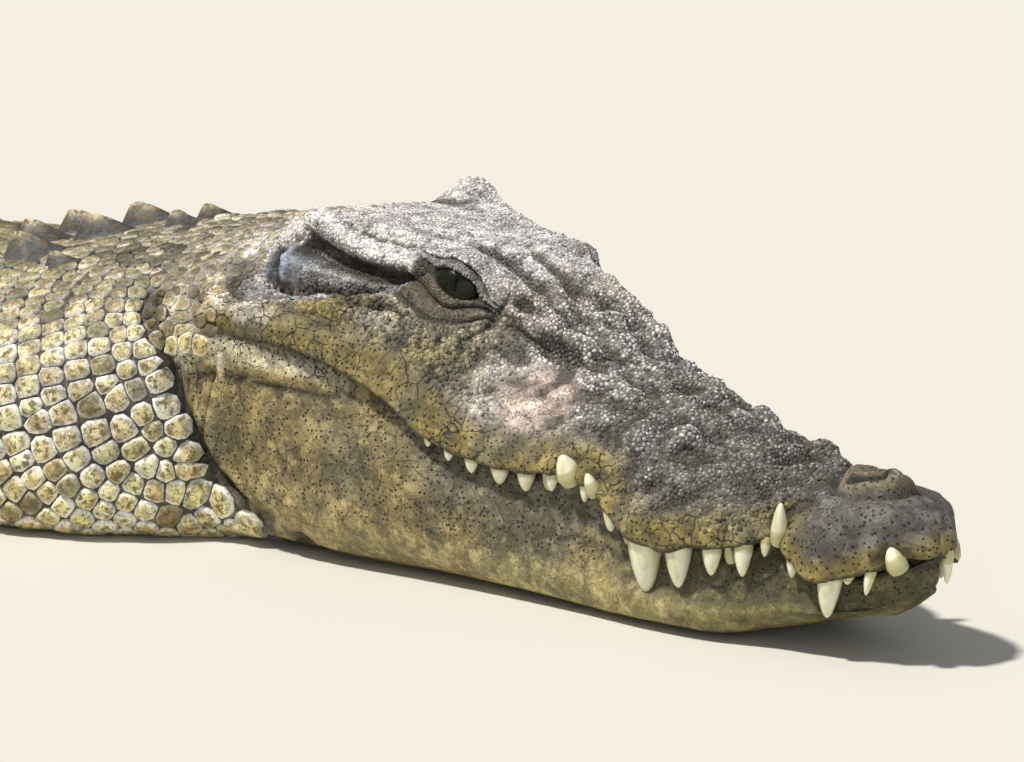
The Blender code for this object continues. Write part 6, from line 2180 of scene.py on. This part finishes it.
def lay_scales(seeds, skin, rng, materials):
    """Shapes every gathered seed into a scale and joins each group into pieces."""
    points, along, group, reach, height = seeds.gather()
    places, normals, faces = skin.drop(points)
    inside = ((points - places) * normals).sum(1)
    at = straighten(points)
    crease, _ = line_distance(mirrored(at), FOLDS["jaw_crease"][0])
    ear, _ = line_distance(mirrored(at), FOLDS["ear_lid"][0])
    bare = np.interp(at[:, 2], (0.03, 0.05, 0.075, 0.10), (0.0165, 0.0110, 0.0100, 0.0072))
    keep = (faces >= 0) & (np.abs(inside) < 0.014) & (crease > bare) & ((ear > 0.0165) | (at[:, 0] > 0))
    keep &= (group != "neck") | (at[:, 0] < CREASE_AHEAD(at[:, 2]) - 0.001) | (at[:, 2] > 0.15)
    keep &= (group != "neck") | (at[:, 2] > 0.014) | (at[:, 0] < -0.03)
    points, along, group, reach, height = (a[keep] for a in (places, along, group, reach, height))
    normals, faces = normals[keep], faces[keep]
    first = along - (along * normals).sum(1)[:, None] * normals
    first /= np.linalg.norm(first, axis=1)[:, None]
    second = np.cross(normals, first)
    gap = np.where(reach < 0.0045, 0.00010 + 0.02 * reach, 0.00030 + 0.014 * reach)
    gap = np.where(group == "neck", 0.00018, gap)
    radii = cell_radii(points, first, second, reach, gap)
    straight = straighten(points)
    tones = markings(straight)[0]
    spread = np.array([TONE_SPREAD.get(name, 0.15) for name in group])
    jitter = 1 + spread[:, None] * rng.normal(size=(len(points), 1))
    jitter = jitter + 0.018 * rng.normal(size=(len(points), 3))
    tones = np.clip(tones * np.clip(jitter, 0.35, 1.65), 0.006, 0.9)
    # painted shade in the skin's hollows and a painted highlight on its ridges, for all but the neck's scales
    shaded_tones = relief_shaded(tones, skin.relief[skin.corner[faces]])
    tones = np.where((group != "neck")[:, None], shaded_tones, tones)
    limit = np.interp(straight[:, 0], (-1.2, -0.6, -0.3), (0.16, 0.14, 0.06))
    limit = np.array([DARK_SHARE.get(name, share) for name, share in zip(group, limit)])
    dark = rng.random(len(points)) < limit
    tones[dark] *= 0.40
    made = []
    for name in sorted(set(group)):
        chosen = np.where(group == name)[0]
        if name in GRANULAR:
            turns, rings, per_piece = np.arange(0, 12, 2), GRAIN_RINGS, 9000
            if name == "cheek":
                turns = np.array((0, 1, 3, 5, 6, 7, 9, 11))
        else:
            turns, rings, per_piece = np.arange(12), RINGS, 3200
        for number, begin in enumerate(range(0, len(chosen), per_piece)):
            part = chosen[begin : begin + per_piece]
            cells = [column[part] for column in (points, first, second, normals, height, tones, faces)]
            cells.append(radii[part][:, turns])
            title = f"scales_{name}_{number + 1}"
            made.append(scale_piece(title, cells, rings, skin, ANGLES[turns], rng, materials[name]))
    return made


def scale_piece(name, cells, rings, skin, angles, rng, material):
    """One joined piece of scales: each has a buried border, one or two rings on top and a middle."""
    points, first, second, normals, height, tones, faces, radii = cells
    count, many, granular = len(angles), len(points), rings is GRAIN_RINGS
    ways = np.cos(angles)[None, :, None] * first[:, None]
    ways = ways + np.sin(angles)[None, :, None] * second[:, None]
    size = radii.mean(1)
    crown = height if granular else height * np.clip(size / 0.008, 0.45, 1.2)
    crown = crown * (1 + 0.15 * rng.normal(size=many))
    made_rings = []
    for share, sink, rise in rings:
        flat = (points[:, None] + ways * (radii * share)[:, :, None]).reshape(-1, 3)
        at, normal = flat, np.repeat(normals, count, axis=0)
        if not granular:
            at, dropped, _ = skin.drop(flat)
            strayed = np.linalg.norm(at - flat, axis=1) > 0.30 * np.repeat(size, count) + 0.0005
            strayed &= flat[:, 2] > 0
            at = np.where(strayed[:, None], flat, at)
            normal = np.where(strayed[:, None], normal, dropped * 0.5 + normal * 0.5)
        rough = 0.00018 * rng.normal(size=len(flat)) if share < 0.95 and not granular else 0
        lift = np.repeat(sink + rise * crown, count) + rough
        made_rings.append((at + normal * lift[:, None]).reshape(-1, count, 3))
    middle = points + normals * crown[:, None]
    vertices = np.concatenate([np.concatenate(made_rings, 1), middle[:, None]], 1)
    vertices[..., 2] = np.maximum(vertices[..., 2], 0.0001)  # the floor presses the lowest scales flat
    each = len(rings) * count + 1
    here = np.arange(count)
    turn = np.roll(here, -1)
    band = np.stack([here, turn, count + turn, count + here], 1)
    quads = np.concatenate([k * count + band for k in range(len(rings) - 1)])
    top = (len(rings) - 1) * count
    fans = np.stack([top + here, top + turn, np.full(count, top + count)], 1)
    starts = np.arange(many) * each
    all_quads = (starts[:, None, None] + quads[None]).reshape(-1, 4)
    all_fans = (starts[:, None, None] + fans[None]).reshape(-1, 3)
    mesh = bpy.data.meshes.new(name)
    corners = np.concatenate([all_quads.ravel(), all_fans.ravel()])
    sizes = np.concatenate([np.full(len(all_quads), 4), np.full(len(all_fans), 3)])
    mesh.vertices.add(many * each)
    mesh.vertices.foreach_set("co", vertices.reshape(-1).astype(np.float32))
    mesh.loops.add(len(corners))
    mesh.loops.foreach_set("vertex_index", corners.astype(np.int32))
    mesh.polygons.add(len(sizes))
    mesh.polygons.foreach_set("loop_start", (np.cumsum(sizes) - sizes).astype(np.int32))
    mesh.update(calc_edges=True)
    mesh.validate()
    spread = np.concatenate([np.full(count, ring[0]) for ring in rings] + [[0.0]])
    turns = np.concatenate([np.tile(angles, len(rings)), [0.0]])
    patch = 0.0015 * spread[:, None] * np.stack([np.cos(turns), np.sin(turns)], 1)
    spots = (skin.spots[faces][:, None] + patch[None]).reshape(-1, 2)
    layer = mesh.uv_layers.new(name="OFBake")
    layer.data.foreach_set("uv", np.clip(spots, 0.001, 0.999)[corners].astype(np.float32).ravel())
    made = add_object(name, mesh, material)
    levels = (1.0, 0.30) if granular else (1.0, 0.72, 0.30)
    set_attribute(mesh, "rim", np.tile(np.append(np.repeat(levels, count), 0.0), many))
    shade = np.ones((each, 3))
    if not granular:  # a pale border round a browner middle
        shade[count : 2 * count] = (1.50, 1.48, 1.48)
        shade[2 * count :] = (0.84, 0.75, 0.50)
    set_attribute(mesh, "tone", np.clip((tones[:, None] * shade[None]).reshape(-1, 3), 0, 0.95))
    return made


# ---------------------------------------------------------------- scutes, crest and claws
def scute_pattern():
    """One keeled scute: x (towards the snout) and y from -1 to 1, z from the root (-1) to the keel (1)."""
    bpy.ops.object.select_all(action="DESELECT")
    bpy.ops.mesh.primitive_grid_add(x_subdivisions=12, y_subdivisions=10, size=2, location=(0, 0, 0))
    plate = bpy.context.object
    bpy.ops.object.mode_set(mode="EDIT")
    bpy.ops.mesh.select_all(action="SELECT")
    bpy.ops.mesh.extrude_region_move(TRANSFORM_OT_translate={"value": (0, 0, -1)})
    bpy.ops.mesh.normals_make_consistent(inside=False)
    bpy.ops.object.mode_set(mode="OBJECT")
    points = read_vectors(plate.data)
    x, y = points[:, 0].copy(), points[:, 1].copy()
    root = points[:, 2] < -0.5
    keel = smooth_step(1.0, -0.45, x) * smooth_step(-1.02, -0.72, x)
    ridge = np.exp(-((np.abs(y) / 0.30) ** 1.5))
    crown = 0.30 * (1 - x**4) * (1 - y**4) + 0.70 * keel * ridge
    points[:, 2] = np.where(root, -1.0, crown)
    points[:, 0] = x * np.sqrt(1 - 0.36 * y * y) + 0.05 * (1 - np.abs(y))
    points[:, 1] = y * np.sqrt(1 - 0.40 * x * x) * np.where(x < 0, 1.0, 0.94)
    write_points(plate.data, points)
    return plate


def lay_scutes(name, rows, skin, rng, base_tone, material):
    """Copies of the scute pattern, each shaped to the skin under it and joined into one piece."""
    pattern = scute_pattern()
    local = read_vectors(pattern.data)
    work = bmesh.new()
    tones, rims = [], []
    for straight, length, width, height in rows:
        mesh = pattern.data.copy()
        heading = HEADING(HEAD_LENGTH - straight[0])
        along = np.array((math.cos(heading), math.sin(heading), 0.0))
        at, normal, _ = skin.drop([bent(straight[None])[0]], 0.2)
        at, normal = at[0], normal[0]
        along = along - (along @ normal) * normal
        along /= np.linalg.norm(along)
        across = np.cross(normal, along)
        spots = at + local[:, :1] * along * length / 2 + local[:, 1:2] * across * width / 2
        low, flat_normal, _ = skin.drop(spots, 0.2)
        blended = flat_normal * 0.35 + normal * 0.65
        lumps = clouds(spots + local[:, 2:] * 0.004, 0.006, 61) * 0.0007 + clouds(spots, 0.014, 62) * 0.0012
        lift = np.where(local[:, 2] < -0.5, -0.003, local[:, 2] * height + lumps * (local[:, 2] > 0.05))
        write_points(mesh, low + blended * lift[:, None])
        work.from_mesh(mesh)
        tone = base_tone * (1 + 0.12 * rng.normal())
        crest_share = np.clip((local[:, 2:] - 0.62) / 0.28, 0, 1)
        tones.append(tone * (1 - crest_share) + np.array((0.46, 0.39, 0.26)) * crest_share)
        edge = np.maximum(np.abs(local[:, 0]), np.abs(local[:, 1])) ** 4
        rims.append(np.clip(edge - 0.15 * (local[:, 2] > 0.3), 0, 1))
        bpy.data.meshes.remove(mesh)
    mesh = bpy.data.meshes.new(name)
    work.to_mesh(mesh)
    work.free()
    bpy.data.objects.remove(pattern)
    made = add_object(name, mesh, material)
    set_attribute(mesh, "tone", np.concatenate(tones))
    set_attribute(mesh, "rim", np.concatenate(rims))
    bake_map(mesh)
    return made


def bake_map(mesh):
    """A simple bake map: every face has its own patch of the square."""
    layer = mesh.uv_layers.get("OFBake") or mesh.uv_layers.new(name="OFBake")
    count = len(mesh.polygons)
    side = math.ceil(math.sqrt(count))
    spots = np.empty((len(mesh.loops), 2))
    starts, totals = (read(mesh.polygons, name, kind=np.int32) for name in ("loop_start", "loop_total"))
    face = np.repeat(np.arange(count), totals)
    corner = np.arange(len(mesh.loops)) - np.repeat(starts, totals)
    angle = 2 * math.pi * (corner + 0.5) / np.repeat(totals, totals)
    spots[:, 0] = (face % side + 0.5 + 0.55 * np.cos(angle)) / side
    spots[:, 1] = (face // side + 0.5 + 0.55 * np.sin(angle)) / side
    layer.data.foreach_set("uv", spots.astype(np.float32).ravel())


CREST_JOINS = 3.04
TAIL_CUTS = (2.55, 3.05, 3.55)
CREST_HEIGHT = Profile((2.00, 0.018), (2.30, 0.038), (2.80, 0.056), (3.30, 0.058), (3.96, 0.020))
CREST_SPREAD = Profile((2.00, 0.062), (2.50, 0.046), (3.04, 0.014))
CREST_STEP = Profile((2.00, 0.072), (3.00, 0.066), (3.96, 0.052))


def crest_places(start, end):
    """(station, left, step) of the flaps between two stations: in pairs first, single further back."""
    count = round((end - start) / float(CREST_STEP((start + end) / 2)))
    step = (end - start) / count
    stations = [start + (i + 0.5) * step for i in range(count)]
    if start >= CREST_JOINS:
        return [(station, 0.0, step) for station in stations]
    return [(station, side * float(CREST_SPREAD(station)), step) for station in stations for side in BOTH]


def make_crest(name, material):
    """The upright scutes of the tail: thin flaps that lean back, thick at the root."""
    columns, levels = 9, 7
    vertices, faces, tones, rims = [], [], [], []
    ends = (VENT_STATION, *TAIL_CUTS, TOTAL_LENGTH)
    rows = [where for start, end in zip(ends, ends[1:]) for where in crest_places(start + 0.0004, end)]
    for station, left, step in rows:
        height = float(CREST_HEIGHT(station))
        rise = math.sqrt(1 - (left / HALF_WIDTH(station)) ** 2)
        base = float(WIDEST_HEIGHT(station) + (BACK_HEIGHT(station) - WIDEST_HEIGHT(station)) * rise)
        first = len(vertices)
        for lean in BOTH:
            for level in range(levels):
                for column in range(columns):
                    s, t = column / (columns - 1), level / (levels - 1)
                    top = height * (0.10 + 0.88 * s**0.75) * (1 - 0.55 * max(0.0, s - 0.86) / 0.14)
                    up = -0.014 + (top + 0.014) * t
                    along = (-0.47 + 0.90 * s + 0.10 * t * s) * step
                    thick = 0.0052 * (1 - t) ** 0.8 + 0.0010
                    thick *= 0.55 + 0.45 * math.sin(math.pi * min(1, s + 0.12))
                    ribs = 0.0004 * math.sin(9.0 * s + 2.5 * t)
                    across = left + lean * thick + 0.10 * up * np.sign(left)
                    vertices.append(place(station + along, across, base + up + ribs))
                    tones.append(0.10 + 0.05 * t)
                    rims.append(0.85 * (1 - t) ** 3 + 0.25 * t)
        for layer in range(2):
            for level in range(levels - 1):
                for column in range(columns - 1):
                    a = first + layer * columns * levels + level * columns + column
                    quad = (a, a + 1, a + columns + 1, a + columns)
                    faces.append(quad if layer else quad[::-1])
        border = [level * columns for level in range(levels)]
        border += [(levels - 1) * columns + column for column in range(1, columns)]
        border += [level * columns + columns - 1 for level in range(levels - 2, -1, -1)]
        border += [column for column in range(columns - 2, 0, -1)]
        for a, b in zip(border, border[1:] + border[:1]):
            other = columns * levels
            faces.append((first + a, first + b, first + b + other, first + a + other))
    mesh = bpy.data.meshes.new(name)
    mesh.from_pydata([tuple(v) for v in vertices], [], faces)
    face_outwards(mesh)
    made = add_object(name, mesh, material)
    straight = straighten(read_vectors(mesh))
    tone = body_markings(straight) * 0.85 + 0.02
    set_attribute(mesh, "tone", tone * (0.8 + 2.0 * np.array(tones))[:, None])
    set_attribute(mesh, "rim", np.array(rims))
    bake_map(mesh)
    return made


def make_claws(name, places, material):
    """Curved claws; places holds (root, direction, radius of the toe) of each."""
    bpy.ops.object.select_all(action="DESELECT")
    bpy.ops.mesh.primitive_cone_add(vertices=14, radius1=0.5, radius2=0.0, depth=1.0, location=(0, 0, 0.5))
    pattern = bpy.context.object
    bpy.ops.object.transform_apply(location=True, rotation=True, scale=True)
    bpy.ops.object.mode_set(mode="EDIT")
    for height in (0.12, 0.28, 0.45, 0.62, 0.78, 0.90):
        bpy.ops.mesh.select_all(action="SELECT")
        bpy.ops.mesh.bisect(plane_co=(0, 0, height), plane_no=(0, 0, 1))
    bpy.ops.object.mode_set(mode="OBJECT")
    local = read_vectors(pattern.data)
    height = local[:, 2].copy()
    full = np.sqrt(np.clip(1 - height**1.6, 0, 1))
    swollen = np.where(height < 0.99, full / np.clip(1 - height, 1e-3, 1), 1)
    local[:, :2] *= swollen[:, None]
    work = bmesh.new()
    for root, along, radius in places:
        length, width = radius * 2.5, radius * 0.95
        across = np.array(along.cross(Vector((0, 0, 1))))
        spots = np.array(root) + local[:, 2:] * np.array(along) * length
        spots += local[:, :1] * across * width + local[:, 1:2] * np.array((0, 0, 1)) * width * 0.9
        spots[:, 2] += 0.10 * width - (root.z - 0.002) * height**1.7
        spots[:, 2] = np.maximum(spots[:, 2], 0.0006)
        mesh = pattern.data.copy()
        write_points(mesh, spots)
        work.from_mesh(mesh)
        bpy.data.meshes.remove(mesh)
    bmesh.ops.recalc_face_normals(work, faces=work.faces)
    mesh = bpy.data.meshes.new(name)
    work.to_mesh(mesh)
    work.free()
    bpy.data.objects.remove(pattern)
    return add_object(name, mesh, material)


# ---------------------------------------------------------------- the animal, piece by piece
HIDE = make_hide()
TOOTH = make_tooth_finish()
EYE = make_eye_finish()
SCALE = make_scale_finish()
GRANULE = make_granule_finish()
CLAW = make_claw_finish()
RNG = np.random.default_rng(7)
SLOTS = {
    "neck": "neck_hide", "nape": "neck_hide", "rear": "neck_hide", "trunk": "back_hide", "back": "back_hide",
    "tail": "tail_hide", "legs": "leg_hide", "snout": "head_hide", "cheek": "head_hide", "table": "head_hide",
    "lids": "head_hide",
}
FINISHES = {name: GRANULE if name in GRANULAR else SCALE for name in SLOTS}
SCUTE_TONES = {"neck_scutes": np.array((0.040, 0.043, 0.050)), "back_scutes": np.array((0.150, 0.142, 0.100))}


def make_skin():
    """The skin with its limbs; also where the claws grow."""
    mesh = straight_skin()
    for wanted in (near_eye, on_lids, on_temple):
        refine(mesh, wanted)
    sculpt(mesh)
    write_points(mesh, bent(read_vectors(mesh)))
    made = add_object("skin", mesh, HIDE)
    return made, unite_legs(made)


def mark_skin(mesh, relief, straight):
    """Gives the skin its colours and marks; where scales and granules will cover it, it is painted dark as
    shade in the gaps between them.
    """
    colour, plated, pitted, specks = markings(straight)
    ahead, where = straight[:, 0], zones(straight)
    under_coat = smooth_step(0.0040, -0.0040, ahead - CREASE_AHEAD(straight[:, 2]))
    # painted shade in the gaps between the scales behind the jaw
    colour = blend_in(colour, 0.92 * under_coat, (0.034, 0.027, 0.021))
    # painted shade in the skin's hollows and a painted highlight on its ridges
    colour = relief_shaded(colour, relief)
    ear, _ = line_distance(mirrored(straight), FOLDS["ear_lid"][0])
    under_grain = np.clip(0.75 * where["snout"] + 0.50 * where["top"] + 0.45 * where["cheek"], 0, 0.75)
    shown = (1 - plated) * (1 - under_coat) * np.maximum(smooth_step(0.011, 0.015, ear), ahead > 0)
    shown = shown * (ahead < 0.46) * (1 - 0.6 * lid_places(straight)[0])
    # painted shade in the gaps between the granules
    colour = blend_in(colour, under_grain * shown, (0.050, 0.044, 0.034))
    for name, values in (("tone", colour), ("plated", plated), ("pitted", pitted), ("specks", specks)):
        set_attribute(mesh, name, values)


def scute_rows():
    """(straightened place, length, width, height) of the scutes of the neck, and of those of the back."""
    neck, back = [], []
    for ahead, out, length, width, height in NUCHAL:
        outwards, up = half_section(np.array([HEAD_LENGTH - ahead]), np.linspace(0, 0.5, 200))
        crown = float(np.interp(out, outwards[0], up[0]))
        neck += [(np.array((ahead, side * out, crown)), length, width, height) for side in BOTH]
    for station, across, length, width, height in back_scutes():
        turn = np.array([turn_across(station, across)])
        for side in BOTH:
            back.append((on_body(np.array([station]), turn, side)[0], length, width, height))
    return neck, back


def scatter_bumps(seeds, rng):
    """Bumps on the nape, wider apart further back, and on the back, wherever the rows leave room."""
    stations, turns = rng.uniform(0.575, 0.86, 26000), rng.uniform(0.0, 0.30, 26000)
    spacing = np.interp(stations, (0.57, 0.66, 0.86), (0.0062, 0.0085, 0.0125))
    scatter_seeds(seeds, rng, stations, turns, spacing, "nape", 0.30)
    stations, turns = rng.uniform(0.84, 2.12, 26000), rng.uniform(0, 0.22, 26000)
    scatter_seeds(seeds, rng, stations, turns, np.full(len(stations), 0.0145), "back", 0.20)


skin, claw_places = make_skin()
surface = Skin(skin)
straight = straighten(surface.points)
mark_skin(skin.data, surface.relief, straight)
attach(skin, "root")
FLESH = [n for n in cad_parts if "eye" not in n]
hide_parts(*FLESH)

seeds = Seeds()
body_seeds(seeds, RNG)
scatter_bumps(seeds, RNG)
limb_seeds(seeds, RNG, surface, skin.data)
head_seeds(seeds, RNG, skin.data, surface.points, straight)
neck_scutes, back_rows = scute_rows()
seeds.clear_under(neck_scutes + back_rows)
for piece in lay_scales(seeds, surface, RNG, FINISHES):
    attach(piece, "root")
for name, rows, slot in (("neck_scutes", neck_scutes, "neck_hide"), ("back_scutes", back_rows, "back_hide")):
    plates = lay_scutes(name, rows, surface, RNG, SCUTE_TONES[name], SCALE)
    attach(plates, "root")
crest = make_crest("tail_crest", SCALE)
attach(crest, "root")
claws = make_claws("claws", claw_places, CLAW)
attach(claws, "root")

for name, rows, lower in (("upper_teeth", UPPER_TEETH, False), ("lower_teeth", LOWER_TEETH, True)):
    teeth = make_teeth(name, rows, lower, TOOTH)
    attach(teeth, "root")
for word, side in (("right", -1), ("left", 1)):
    eye = make_eye(f"{word}_eyeball", side, EYE)
    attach(eye, "root")
    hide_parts(f"{word}_eye")
make_stage()
make_lights_and_camera()
bpy.context.scene.view_settings.view_transform = "Standard"
